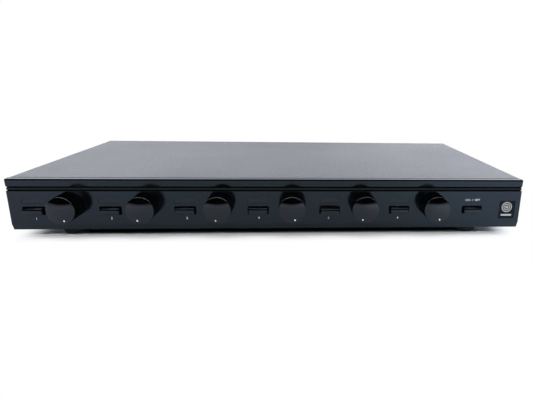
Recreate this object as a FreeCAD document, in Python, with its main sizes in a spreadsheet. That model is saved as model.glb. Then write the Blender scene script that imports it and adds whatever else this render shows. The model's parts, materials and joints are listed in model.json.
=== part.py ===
import FreeCAD, Part
import os
from types import SimpleNamespace
import Sketcher

# Six-zone speaker selector with a volume knob and an on/off button per zone, in a flat
# steel case. Millimetres, +Z up, +X to the right of the front, +Y towards the back.
# The origin is on the floor under the middle of the whole outline.

ZONES = (1, 2, 3, 4, 5, 6)
BUTTONS = ZONES + (7,)
RELEASED_BUTTON = 5
KNOBS_AT_MAXIMUM = (1, 4, 6)

DIMENSIONS = {
    # outline of the case
    "fascia_width": 432.0,
    "fascia_height": 43.7,
    "case_depth": 216.0,
    "foot_height": 9.0,
    # fascia section
    "fascia_depth": 8.0,
    "fascia_wall": 3.5,
    "fascia_rim": 2.4,
    "strip_height": 6.7,
    "groove_height": 3.4,
    "groove_depth": 2.0,
    "bead_drop": 1.0,
    "bead_height": 1.6,
    "bead_stand": 1.1,
    "chamfer_height": 5.2,
    "chamfer_inset": 2.0,
    "edge_break": 0.35,
    "top_round": 1.2,
    "ledge_depth": 5.4,
    "ledge_drop": 0.35,
    "strip_lean": 0.5,
    # where the controls are on the fascia, down from its top edge
    "zone_pitch": 60.8,
    "knob_row_shift": -15.8,
    "knob_drop": 22.1,
    "button_lead": 28.9,
    "protection_place": 172.4,
    "button_drop": 26.85,
    "label_drop": 18.35,
    "badge_place": 204.3,
    "badge_drop": 26.9,
    # openings and recesses in the fascia
    "opening_width": 18.0,
    "opening_height": 7.2,
    "opening_corner": 1.2,
    "label_width": 17.8,
    "label_height": 4.7,
    "label_corner": 1.1,
    "label_depth": 0.8,
    "insert_thickness": 0.5,
    "insert_gap": 0.15,
    "badge_width": 14.4,
    "badge_height": 16.2,
    "badge_corner": 0.6,
    "badge_depth": 0.8,
    "shaft_hole_radius": 4.0,
    "boss_radius": 3.2,
    "boss_clearance": 1.2,
    "boss_pilot_depth": 6.0,
    # knobs
    "knob_radius": 11.2,
    "knob_rim_reach": 16.0,
    "knob_reach": 18.0,
    "knob_standoff": 0.8,
    "knob_chamfer": 0.5,
    "knob_bore_reach": 13.0,
    "knob_relief_depth": 8.0,
    "knob_relief_inner": 5.2,
    "knob_relief_outer": 9.2,
    "flute_count": 60.0,
    "flute_radius": 0.4,
    "flute_stand": 0.2,
    "stop_angle": 15.0,
    # rotary switches and their shafts
    "shaft_radius": 3.0,
    "shaft_flat": 1.0,
    "shaft_tip_radius": 2.0,
    "press_clearance": 0.02,
    "running_clearance": 0.05,
    "rotor_radius": 10.0,
    "rotor_thickness": 2.0,
    "rotor_clearance": 0.5,
    "rotary_radius": 13.0,
    "rotary_front_wall": 1.5,
    "rotary_tip_depth": 4.3,
    "bushing_radius": 4.5,
    "bushing_length": 5.3,
    "nut_radius": 6.9,
    "nut_thickness": 2.0,
    "washer_radius": 6.5,
    "washer_thickness": 0.6,
    # push buttons
    "button_gap": 1.25,
    "button_reach": 3.8,
    "button_step": 1.8,
    "button_lip": 0.8,
    "button_tail": 4.0,
    "button_latch": 2.8,
    "button_round": 0.25,
    "plunger_size": 3.0,
    "plunger_front": 0.5,
    "plunger_tip": 15.5,
    "plunger_clearance": 0.2,
    "push_switch_size": 9.0,
    "push_switch_bore": 11.0,
    # sheet metal
    "cover_thickness": 1.0,
    "cover_rise": 0.2,
    "cover_seam": 0.2,
    "cover_bend": 2.0,
    "cover_lip": 9.0,
    "tray_thickness": 1.2,
    "tray_flange": 16.0,
    "subpanel_thickness": 1.2,
    "subpanel_flange": 14.0,
    "panel_top_gap": 0.6,
    "sheet_gap": 0.2,
    # circuit boards
    "board_thickness": 1.6,
    "standoff_height": 6.0,
    "standoff_radius": 3.0,
    "standoff_reach": 180.0,
    "standoff_front": 74.0,
    "standoff_back": 18.0,
    "main_board_half": 190.0,
    "main_board_front": 68.0,
    "main_board_rear_gap": 1.6,
    "switch_length": 14.0,
    "switch_board_left": 206.0,
    "switch_board_right": 186.0,
    "switch_board_below": 16.6,
    "switch_board_above": 15.4,
    # autoformers, two per zone
    "core_width": 32.0,
    "core_stack": 18.0,
    "core_yoke": 5.0,
    "core_leg": 10.0,
    "window_width": 6.0,
    "window_height": 17.0,
    "coil_clearance": 0.3,
    "coil_thickness": 5.0,
    "autoformer_front": 92.0,
    "autoformer_pitch": 40.0,
    # protection resistors
    "resistor_length": 36.0,
    "resistor_size": 9.0,
    "resistor_pitch": 45.0,
    "resistor_place": 166.0,
    # terminal blocks on the rear
    "terminal_reach": 7.0,
    "terminal_tail": 9.0,
    "terminal_height": 11.5,
    "terminal_pole": 5.08,
    "terminal_cheek": 0.3,
    "terminal_pitch": 50.0,
    "terminal_row_shift": -28.0,
    "input_place": 165.0,
    "wire_hole_radius": 1.5,
    "wire_hole_rise": 4.0,
    "wire_hole_depth": 8.0,
    "clamp_screw_radius": 1.6,
    "clamp_screw_length": 3.0,
    "clamp_screw_sink": 0.5,
    "clamp_well_clearance": 0.1,
    "clamp_place": 4.2,
    "cutout_gap": 0.3,
    # feet
    "foot_radius": 12.5,
    "foot_taper": 1.0,
    "foot_reach": 176.0,
    "foot_front": 27.0,
    "foot_back": 32.0,
    "foot_recess_radius": 4.2,
    "foot_recess_depth": 5.0,
    # screws
    "screw_radius": 1.5,
    "screw_head_radius": 2.8,
    "screw_head_height": 1.8,
    "screw_hole_clearance": 0.02,
    "cover_screw_front": 60.0,
    "cover_screw_back": 160.0,
    "cover_screw_rise": 9.0,
    "cover_screw_length": 6.0,
    "rear_screw_reach": 190.0,
    "rear_screw_drop": 5.0,
    "fascia_screw_length": 6.0,
    "board_screw_length": 6.0,
    "foot_screw_length": 8.0,
    # ribbon cables between the two boards
    "ribbon_thickness": 1.0,
    "ribbon_width": 36.0,
    "ribbon_reach": 90.0,
    "ribbon_rise": 2.4,
    "ribbon_drop_place": 72.0,
    "ribbon_bend": 4.0,
    "plug_depth": 4.0,
    "plug_height": 6.0,
}

SHEET_ROWS = list(DIMENSIONS)
BOSS_ZONES = (1, 3, 4, 6)
SIDES = (-1, 1)
FULL_TURN = 360.0

doc = FreeCAD.newDocument("speaker_selector")
NODES = {}


# ---------------------------------------------------------------- sizes and expressions

class Size:
    """A length known both as a number and as an expression on the dimension sheet."""

    def __init__(self, text, value):
        self.text = text
        self.value = value

    def __add__(self, other):
        other = size(other)
        return Size(f"({self.text} + {other.text})", self.value + other.value)

    def __radd__(self, other):
        return size(other) + self

    def __sub__(self, other):
        other = size(other)
        return Size(f"({self.text} - {other.text})", self.value - other.value)

    def __rsub__(self, other):
        return size(other) - self

    def __mul__(self, other):
        other = size(other)
        return Size(f"({self.text} * {other.text})", self.value * other.value)

    def __rmul__(self, other):
        return size(other) * self

    def __truediv__(self, other):
        other = size(other)
        return Size(f"({self.text} / {other.text})", self.value / other.value)

    def __neg__(self):
        return 0 - self


def size(thing):
    return thing if isinstance(thing, Size) else Size(f"({float(thing)})", float(thing))


def make_sheet():
    sheet = doc.addObject("Spreadsheet::Sheet", "dims")
    for row, name in enumerate(SHEET_ROWS, start=1):
        sheet.set(f"A{row}", name.replace("_", " "))
        sheet.set(f"B{row}", str(DIMENSIONS[name]))
        sheet.setAlias(f"B{row}", name)
    doc.recompute()
    return SimpleNamespace(**{n: Size(f"dims.{n}", v) for n, v in DIMENSIONS.items()})


d = make_sheet()

# Planes and rows that several pieces share.
half_width = d.fascia_width / 2
face_y = (d.knob_reach - d.case_depth - d.terminal_reach) / 2
fascia_back_y = face_y + d.fascia_depth
subpanel_back_y = fascia_back_y + d.subpanel_thickness
switch_board_y = subpanel_back_y + d.switch_length
back_y = face_y + d.case_depth
base_z = d.foot_height
floor_z = base_z + d.tray_thickness
top_z = base_z + d.fascia_height
cover_top_z = top_z + d.cover_rise
cover_under_z = cover_top_z - d.cover_thickness
knob_z = top_z - d.knob_drop
button_z = top_z - d.button_drop
tray_half = half_width - d.cover_thickness - d.sheet_gap
tray_back_y = back_y - d.cover_thickness - d.sheet_gap
board_z = floor_z + d.standoff_height
board_top_z = board_z + d.board_thickness
screw_hole_radius = d.screw_radius + d.screw_hole_clearance
boss_lead = d.rotary_radius + d.screw_head_radius + d.boss_clearance
ribbon_z = knob_z + d.ribbon_rise


def knob_x(zone):
    middle = (ZONES[0] + ZONES[-1]) / 2
    return d.knob_row_shift + (zone - middle) * d.zone_pitch


def button_x(number):
    if number in ZONES:
        return knob_x(number) - d.button_lead
    return d.protection_place


def terminal_x(zone):
    middle = (ZONES[0] + ZONES[-1]) / 2
    return d.terminal_row_shift + (zone - middle) * d.terminal_pitch


# ---------------------------------------------------------------- small modelling helpers

def bind(thing, prop, length):
    thing.setExpression(prop, size(length).text)


def place(thing, x=0, y=0, z=0):
    for prop, length in (("x", x), ("y", y), ("z", z)):
        bind(thing, f"Placement.Base.{prop}", length)


def box(name, x_range, y_range, z_range):
    made = doc.addObject("Part::Box", name)
    for prop, (low, high) in (("Length", x_range), ("Width", y_range), ("Height", z_range)):
        bind(made, prop, high - low)
    place(made, x_range[0], y_range[0], z_range[0])
    return made


TURNS = {
    "+Z": FreeCAD.Rotation(),
    "-Z": FreeCAD.Rotation(FreeCAD.Vector(1, 0, 0), 180),
    "+Y": FreeCAD.Rotation(FreeCAD.Vector(1, 0, 0), -90),
    "-Y": FreeCAD.Rotation(FreeCAD.Vector(1, 0, 0), 90),
    "+X": FreeCAD.Rotation(FreeCAD.Vector(0, 1, 0), 90),
    "-X": FreeCAD.Rotation(FreeCAD.Vector(0, 1, 0), -90),
}


def rod(name, start, way, radius, length):
    """A cylinder that grows from start along way, such as "+Y"."""
    made = doc.addObject("Part::Cylinder", name)
    bind(made, "Radius", radius)
    bind(made, "Height", length)
    made.Placement = FreeCAD.Placement(FreeCAD.Vector(), TURNS[way])
    place(made, *start)
    return made


def fuse(name, *pieces):
    made = doc.addObject("Part::MultiFuse", name)
    made.Shapes = list(pieces)
    made.Refine = True
    return made


def cut(name, base, *tools):
    tool = tools[0] if len(tools) == 1 else group(f"{name}_tools", tools)
    made = doc.addObject("Part::Cut", name)
    made.Base = base
    made.Tool = tool
    return made


def group(name, pieces):
    made = doc.addObject("Part::Compound", name)
    made.Links = list(pieces)
    return made


def screw(name, seat, way, length):
    """A pan-head screw: seat is under the head, way is where the shank goes."""
    back = {"+": "-", "-": "+"}[way[0]] + way[1]
    shank = rod(f"{name}_shank", seat, way, d.screw_radius, length)
    head = rod(f"{name}_head", seat, back, d.screw_head_radius, d.screw_head_height)
    return fuse(name, shank, head)


def node(name, thing):
    thing.Label = name
    NODES[name] = thing
    return thing


def body(name):
    return doc.addObject("PartDesign::Body", name)


def origin_part(owner, role):
    return next(o for o in owner.Origin.OriginFeatures if o.Role == role)


def sketch(owner, name, plane, offset=None):
    made = owner.newObject("Sketcher::SketchObject", name)
    made.AttachmentSupport = [(origin_part(owner, plane), "")]
    made.MapMode = "FlatFace"
    if offset is not None:
        bind(made, "AttachmentOffset.Base.z", offset)
        made.AttachmentOffset = FreeCAD.Placement(
            FreeCAD.Vector(0, 0, size(offset).value), FreeCAD.Rotation())
    return made


def pin(made, curve, end, point):
    """Fix one end of a sketch curve at a point given by two sizes."""
    for kind, length in (("DistanceX", point[0]), ("DistanceY", point[1])):
        length = size(length)
        row = made.addConstraint(Sketcher.Constraint(kind, -1, 1, curve, end, length.value))
        made.setExpression(f"Constraints[{row}]", length.text)


def flat(point):
    return FreeCAD.Vector(size(point[0]).value, size(point[1]).value, 0)


def outline(made, points):
    """A closed outline of straight lines through the points."""
    count = len(points)
    first = made.GeometryCount
    for i, point in enumerate(points):
        made.addGeometry(Part.LineSegment(flat(point), flat(points[(i + 1) % count])), False)
    for i, point in enumerate(points):
        following = first + (i + 1) % count
        made.addConstraint(Sketcher.Constraint("Coincident", first + i, 2, following, 1))
        pin(made, first + i, 1, point)


def circle(made, centre, radius):
    radius = size(radius)
    ring = Part.Circle(flat(centre), FreeCAD.Vector(0, 0, 1), radius.value)
    curve = made.addGeometry(ring, False)
    pin(made, curve, 3, centre)
    row = made.addConstraint(Sketcher.Constraint("Radius", curve, radius.value))
    made.setExpression(f"Constraints[{row}]", radius.text)


def rounded_rectangle(made, centre, width, height, corner):
    """A rectangle with quarter-round corners, centred on a point."""
    quarter = 1.5707963267948966
    left, right = centre[0] - width / 2, centre[0] + width / 2
    low, high = centre[1] - height / 2, centre[1] + height / 2
    sides = (
        ((left + corner, low), (right - corner, low)),
        ((right, low + corner), (right, high - corner)),
        ((right - corner, high), (left + corner, high)),
        ((left, high - corner), (left, low + corner)),
    )
    corners = (
        (right - corner, low + corner),
        (right - corner, high - corner),
        (left + corner, high - corner),
        (left + corner, low + corner),
    )
    lines = []
    for start, end in sides:
        curve = made.addGeometry(Part.LineSegment(flat(start), flat(end)), False)
        pin(made, curve, 1, start)
        pin(made, curve, 2, end)
        lines.append(curve)
    for i, middle in enumerate(corners):
        ring = Part.Circle(flat(middle), FreeCAD.Vector(0, 0, 1), corner.value)
        arc = made.addGeometry(Part.ArcOfCircle(ring, (i - 1) * quarter, i * quarter), False)
        made.addConstraint(Sketcher.Constraint("Coincident", lines[i], 2, arc, 1))
        made.addConstraint(Sketcher.Constraint("Coincident", arc, 2, lines[(i + 1) % 4], 1))
        row = made.addConstraint(Sketcher.Constraint("Radius", arc, corner.value))
        made.setExpression(f"Constraints[{row}]", corner.text)


def pad(owner, name, profile, length, symmetric=False, reverse=False):
    made = owner.newObject("PartDesign::Pad", name)
    made.Profile = profile
    bind(made, "Length", length)
    made.Reversed = reverse
    if symmetric:
        made.SideType = "Symmetric"
    return made


def pocket(owner, name, profile, length, symmetric=False, reverse=False):
    made = owner.newObject("PartDesign::Pocket", name)
    made.Profile = profile
    bind(made, "Length", length)
    made.Reversed = reverse
    if symmetric:
        made.SideType = "Symmetric"
    return made


def revolve(owner, name, profile, axis):
    made = owner.newObject("PartDesign::Revolution", name)
    made.Profile = profile
    made.ReferenceAxis = (origin_part(owner, axis), [""])
    made.Angle = FULL_TURN
    return made


def edges_at(feature, **where):
    """Names of a feature's edges that lie wholly on the given x, y or z planes."""
    doc.recompute()
    found = []
    for i, edge in enumerate(feature.Shape.Edges, start=1):
        limits = edge.BoundBox
        spans = {"x": (limits.XMin, limits.XMax), "y": (limits.YMin, limits.YMax),
                 "z": (limits.ZMin, limits.ZMax)}
        on_plane = [max(abs(spans[k][0] - size(v).value), abs(spans[k][1] - size(v).value)) < 0.01
                    for k, v in where.items()]
        if all(on_plane):
            found.append(f"Edge{i}")
    return found


def round_edges(owner, name, base, edges, radius):
    made = owner.newObject("PartDesign::Fillet", name)
    made.Base = (base, edges)
    bind(made, "Radius", radius)
    return made


# ---------------------------------------------------------------- fascia and its trim

def make_fascia():
    strip_z = top_z - d.strip_height
    bead_top_z = strip_z - d.bead_drop
    bead_low_z = bead_top_z - d.bead_height
    panel_z = strip_z - d.groove_height
    groove_y = face_y + d.groove_depth
    broken_y = face_y + d.edge_break
    fascia = body("fascia")
    section = sketch(fascia, "fascia_section", "YZ_Plane")
    outline(section, [
        (fascia_back_y, top_z),
        (face_y + d.ledge_depth, top_z),
        (face_y, top_z - d.ledge_drop),
        (face_y + d.strip_lean, strip_z + d.edge_break),
        (broken_y + d.strip_lean, strip_z),
        (groove_y, strip_z),
        (groove_y, bead_top_z),
        (groove_y - d.bead_stand, bead_top_z),
        (groove_y - d.bead_stand, bead_low_z),
        (groove_y, bead_low_z),
        (groove_y, panel_z),
        (broken_y, panel_z),
        (face_y, panel_z - d.edge_break),
        (face_y, base_z + d.chamfer_height),
        (face_y + d.chamfer_inset, base_z),
        (fascia_back_y, base_z),
    ])
    bar = pad(fascia, "fascia_bar", section, d.fascia_width, symmetric=True)
    edges = edges_at(bar, y=face_y, z=top_z - d.ledge_drop)
    round_edges(fascia, "fascia_top_round", bar, edges, d.top_round)

    rabbet = sketch(fascia, "cover_rabbet_outline", "XZ_Plane", -fascia_back_y)
    seat_half = half_width - d.cover_thickness - d.cover_seam
    seat_top = cover_under_z - d.cover_seam
    outer_half = half_width + d.cover_seam
    outline(rabbet, [
        (-outer_half, base_z - d.cover_seam),
        (-outer_half, top_z + d.cover_seam),
        (outer_half, top_z + d.cover_seam),
        (outer_half, base_z - d.cover_seam),
        (seat_half, base_z - d.cover_seam),
        (seat_half, seat_top - d.cover_bend),
        (seat_half - d.cover_bend, seat_top),
        (d.cover_bend - seat_half, seat_top),
        (-seat_half, seat_top - d.cover_bend),
        (-seat_half, base_z - d.cover_seam),
    ])
    pocket(fascia, "cover_rabbet", rabbet, d.fascia_depth - d.ledge_depth, reverse=True)

    hollow = sketch(fascia, "fascia_hollow_outline", "XZ_Plane", -fascia_back_y)
    inner_half = half_width - d.fascia_rim
    outline(hollow, [
        (-inner_half, base_z + d.fascia_rim),
        (inner_half, base_z + d.fascia_rim),
        (inner_half, top_z - d.fascia_rim),
        (-inner_half, top_z - d.fascia_rim),
    ])
    pocket(fascia, "fascia_hollow", hollow, d.fascia_depth - d.fascia_wall, reverse=True)

    bosses = sketch(fascia, "boss_circles", "XZ_Plane", -fascia_back_y)
    pilots = sketch(fascia, "pilot_circles", "XZ_Plane", -fascia_back_y)
    for zone in BOSS_ZONES:
        circle(bosses, (knob_x(zone) + boss_lead, knob_z), d.boss_radius)
        circle(pilots, (knob_x(zone) + boss_lead, knob_z), screw_hole_radius)
    pad(fascia, "bosses", bosses, d.fascia_depth - d.fascia_wall + d.edge_break)
    pocket(fascia, "pilot_holes", pilots, d.boss_pilot_depth, reverse=True)

    openings = sketch(fascia, "opening_outlines", "XZ_Plane", -face_y)
    for number in BUTTONS:
        rounded_rectangle(openings, (button_x(number), button_z), d.opening_width,
                          d.opening_height, d.opening_corner)
    pocket(fascia, "button_openings", openings, d.fascia_wall + d.edge_break)

    holes = sketch(fascia, "shaft_hole_circles", "XZ_Plane", -face_y)
    for zone in ZONES:
        circle(holes, (knob_x(zone), knob_z), d.shaft_hole_radius)
    pocket(fascia, "shaft_holes", holes, d.fascia_wall + d.edge_break)

    labels = sketch(fascia, "label_outlines", "XZ_Plane", -face_y)
    for zone in ZONES:
        rounded_rectangle(labels, (button_x(zone), top_z - d.label_drop), d.label_width,
                          d.label_height, d.label_corner)
    pocket(fascia, "label_recesses", labels, d.label_depth)

    badge = sketch(fascia, "badge_outline", "XZ_Plane", -face_y)
    rounded_rectangle(badge, (d.badge_place, top_z - d.badge_drop), d.badge_width,
                      d.badge_height, d.badge_corner)
    pocket(fascia, "badge_recess", badge, d.badge_depth)
    node("fascia", fascia)


def make_insert(name, centre, width, height, corner, depth):
    """A thin plate that lies on the floor of a recess of the fascia."""
    made = body(name)
    plan = sketch(made, f"{name}_outline", "XZ_Plane", -(face_y + depth))
    rounded_rectangle(plan, centre, width - 2 * d.insert_gap, height - 2 * d.insert_gap,
                      corner - d.insert_gap)
    pad(made, f"{name}_plate", plan, d.insert_thickness)
    return made


def make_inserts():
    plates = []
    for zone in ZONES:
        centre = (button_x(zone), top_z - d.label_drop)
        plates.append(make_insert(f"label_insert_{zone}", centre, d.label_width,
                                  d.label_height, d.label_corner, d.label_depth))
    node("label_inserts", group("label_insert_set", plates))
    centre = (d.badge_place, top_z - d.badge_drop)
    node("badge_plate", make_insert("badge_plate", centre, d.badge_width, d.badge_height,
                                    d.badge_corner, d.badge_depth))


# ---------------------------------------------------------------- knobs, shafts, switches

def make_knob(zone):
    """A knob with a fluted side and a domed face, on its axis with y = 0 at the fascia."""
    knob = body(f"knob_{zone}")
    bore = d.shaft_radius + d.press_clearance
    edge = d.knob_radius - d.knob_chamfer
    section = sketch(knob, f"knob_section_{zone}", "XY_Plane")
    corners = [
        (edge, -d.knob_rim_reach),
        (d.knob_radius, -(d.knob_rim_reach - d.knob_chamfer)),
        (d.knob_radius, -d.knob_standoff),
        (d.knob_relief_outer, -d.knob_standoff),
        (d.knob_relief_outer, -(d.knob_standoff + d.knob_relief_depth)),
        (d.knob_relief_inner, -(d.knob_standoff + d.knob_relief_depth)),
        (d.knob_relief_inner, -d.knob_standoff),
        (bore, -d.knob_standoff),
        (bore, -d.knob_bore_reach),
        (size(0), -d.knob_bore_reach),
        (size(0), -d.knob_reach),
    ]
    for start, end in zip(corners, corners[1:]):
        section.addGeometry(Part.LineSegment(flat(start), flat(end)), False)
    last = len(corners) - 2
    for i, point in enumerate(corners[:-1]):
        pin(section, i, 1, point)
        if i < last:
            section.addConstraint(Sketcher.Constraint("Coincident", i, 2, i + 1, 1))
    pin(section, last, 2, corners[-1])
    rise = (d.knob_reach - d.knob_rim_reach).value
    dome_radius = (edge.value ** 2 + rise ** 2) / (2 * rise)
    middle = FreeCAD.Vector(edge.value / 2, 0, 0)
    drop = dome_radius - (dome_radius ** 2 - middle.x ** 2) ** 0.5
    middle.y = drop - d.knob_reach.value
    dome = section.addGeometry(Part.Arc(flat(corners[-1]), middle, flat(corners[0])), False)
    section.addConstraint(Sketcher.Constraint("Coincident", dome, 1, last, 2))
    section.addConstraint(Sketcher.Constraint("Coincident", dome, 2, 0, 1))
    section.addConstraint(Sketcher.Constraint("PointOnObject", dome, 3, -2))
    revolve(knob, f"knob_turned_{zone}", section, "Y_Axis")

    flute = sketch(knob, f"flute_circle_{zone}", "XZ_Plane", d.knob_rim_reach - d.knob_chamfer)
    circle(flute, (size(0), d.knob_radius + d.flute_stand), d.flute_radius)
    length = d.knob_rim_reach - d.knob_chamfer - d.knob_standoff
    groove = pocket(knob, f"flute_{zone}", flute, length)
    flutes = knob.newObject("PartDesign::PolarPattern", f"flutes_{zone}")
    flutes.Originals = [groove]
    flutes.Axis = (origin_part(knob, "Y_Axis"), [""])
    flutes.Angle = FULL_TURN
    bind(flutes, "Occurrences", d.flute_count)
    knob.Tip = flutes
    set_on_axis(knob, zone)
    node(f"knob_{zone}", knob)


def set_on_axis(thing, zone):
    """Put a turning piece on its zone's axis, turned to the stop that it rests at."""
    turn = -d.stop_angle if zone in KNOBS_AT_MAXIMUM else d.stop_angle
    thing.Placement = FreeCAD.Placement(
        FreeCAD.Vector(), FreeCAD.Rotation(FreeCAD.Vector(0, 1, 0), turn.value))
    bind(thing, "Placement.Rotation.Angle", stop_turn(zone))
    place(thing, knob_x(zone), face_y, knob_z)


def stop_turn(zone):
    """The rest angle about +Y, kept positive so that the axis never flips."""
    return FULL_TURN - d.stop_angle if zone in KNOBS_AT_MAXIMUM else d.stop_angle


# Depths behind the fascia's face, shared by a shaft and the switch that it turns in.
switch_front = d.fascia_depth + d.subpanel_thickness
cavity_front = switch_front + d.rotary_front_wall
rotor_front = cavity_front + d.rotor_clearance
rotor_back = rotor_front + d.rotor_thickness
cavity_back = rotor_back + d.rotor_clearance
tip_end = cavity_back + d.rotary_tip_depth


def make_shaft(zone):
    shaft = body(f"shaft_{zone}")
    section = sketch(shaft, f"shaft_section_{zone}", "XY_Plane")
    outline(section, [
        (size(0), -d.knob_bore_reach),
        (d.shaft_radius, -d.knob_bore_reach),
        (d.shaft_radius, rotor_front),
        (d.rotor_radius, rotor_front),
        (d.rotor_radius, rotor_back),
        (d.shaft_tip_radius, rotor_back),
        (d.shaft_tip_radius, tip_end - d.rotor_clearance),
        (size(0), tip_end - d.rotor_clearance),
    ])
    revolve(shaft, f"shaft_turned_{zone}", section, "Y_Axis")
    flat_cut = sketch(shaft, f"flat_outline_{zone}", "XZ_Plane", d.knob_bore_reach)
    low = -(d.shaft_radius + d.press_clearance)
    outline(flat_cut, [
        (low, low),
        (-low, low),
        (-low, -(d.shaft_radius - d.shaft_flat)),
        (low, -(d.shaft_radius - d.shaft_flat)),
    ])
    pocket(shaft, f"shaft_flat_{zone}", flat_cut, d.knob_bore_reach - d.knob_standoff)
    set_on_axis(shaft, zone)
    node(f"shaft_{zone}", shaft)


def make_rotary_switch(zone):
    """The fixed half of a rotary switch: threaded bushing and round housing."""
    switch = body(f"rotary_switch_{zone}")
    bore = d.shaft_radius + d.running_clearance
    cavity = d.rotor_radius + d.rotor_clearance
    tip_bore = d.shaft_tip_radius + d.running_clearance
    section = sketch(switch, f"switch_section_{zone}", "XY_Plane")
    outline(section, [
        (bore, switch_front - d.bushing_length),
        (d.bushing_radius, switch_front - d.bushing_length),
        (d.bushing_radius, switch_front),
        (d.rotary_radius, switch_front),
        (d.rotary_radius, switch_front + d.switch_length),
        (size(0), switch_front + d.switch_length),
        (size(0), tip_end),
        (tip_bore, tip_end),
        (tip_bore, cavity_back),
        (cavity, cavity_back),
        (cavity, cavity_front),
        (bore, cavity_front),
    ])
    revolve(switch, f"switch_turned_{zone}", section, "Y_Axis")
    place(switch, knob_x(zone), face_y, knob_z)
    node(f"rotary_switch_{zone}", switch)


def make_switch_fixings():
    """Washers and hexagon nuts on the bushings, in front of the sub-panel."""
    washers, nuts = [], []
    hole_radius = d.bushing_radius + d.press_clearance
    washer_y = fascia_back_y - d.washer_thickness
    nut_y = washer_y - d.nut_thickness
    for zone in ZONES:
        start = (knob_x(zone), washer_y, knob_z)
        disc = rod(f"washer_disc_{zone}", start, "+Y", d.washer_radius, d.washer_thickness)
        hole = rod(f"washer_hole_{zone}", start, "+Y", hole_radius, d.washer_thickness)
        washers.append(cut(f"washer_{zone}", disc, hole))
        prism = doc.addObject("Part::Prism", f"nut_prism_{zone}")
        prism.Polygon = 6
        bind(prism, "Circumradius", d.nut_radius)
        bind(prism, "Height", d.nut_thickness)
        prism.Placement = FreeCAD.Placement(FreeCAD.Vector(), TURNS["+Y"])
        start = (knob_x(zone), nut_y, knob_z)
        place(prism, *start)
        hole = rod(f"nut_hole_{zone}", start, "+Y", hole_radius, d.nut_thickness)
        nuts.append(cut(f"nut_{zone}", prism, hole))
    node("switch_washers", group("washer_set", washers))
    node("switch_nuts", group("nut_set", nuts))


# ---------------------------------------------------------------- push buttons

def latch_shift(number):
    """Six buttons rest latched; the released one stands further out."""
    return -d.button_latch if number == RELEASED_BUTTON else size(0)


def make_button(number):
    """A cap with a stepped front, and the blind socket that its plunger is pushed into."""
    cap = body(f"button_{number}")
    half = d.opening_height / 2 - d.button_gap
    width = d.opening_width - 2 * d.button_gap
    lip_y = d.button_step - d.button_reach
    section = sketch(cap, f"button_section_{number}", "YZ_Plane")
    outline(section, [
        (d.button_tail, -half),
        (d.button_tail, half),
        (lip_y, half),
        (lip_y, half - d.button_lip),
        (-d.button_reach, half - d.button_lip),
        (-d.button_reach, -half),
    ])
    bar = pad(cap, f"button_bar_{number}", section, width, symmetric=True)
    edges = edges_at(bar, y=-d.button_reach)
    rounded = round_edges(cap, f"button_front_{number}", bar, edges, d.button_round)
    edges = edges_at(rounded, y=lip_y, z=half)
    round_edges(cap, f"button_lip_{number}", rounded, edges, d.button_round)
    socket = sketch(cap, f"socket_outline_{number}", "XZ_Plane", -d.button_tail)
    reach = d.plunger_size / 2 + d.press_clearance
    outline(socket, [(-reach, -reach), (reach, -reach), (reach, reach), (-reach, reach)])
    depth = d.button_tail - d.plunger_front + d.press_clearance
    pocket(cap, f"socket_{number}", socket, depth, reverse=True)
    place(cap, button_x(number), face_y + latch_shift(number), button_z)
    node(f"button_{number}", cap)


def make_plunger(number):
    half = d.plunger_size / 2
    y_shift = face_y + latch_shift(number)
    node(f"plunger_{number}", box(
        f"plunger_{number}",
        (button_x(number) - half, button_x(number) + half),
        (y_shift + d.plunger_front, y_shift + d.plunger_tip),
        (button_z - half, button_z + half)))


def make_push_switches():
    switches = []
    half = d.push_switch_size / 2
    bore = d.plunger_size / 2 + d.plunger_clearance
    for number in BUTTONS:
        x = button_x(number)
        case = box(f"push_case_{number}", (x - half, x + half),
                   (subpanel_back_y, switch_board_y), (button_z - half, button_z + half))
        hole = box(f"push_bore_{number}", (x - bore, x + bore),
                   (subpanel_back_y, subpanel_back_y + d.push_switch_bore),
                   (button_z - bore, button_z + bore))
        switches.append(cut(f"push_switch_{number}", case, hole))
    node("push_switches", group("push_switch_set", switches))


# ---------------------------------------------------------------- sheet metal

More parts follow.
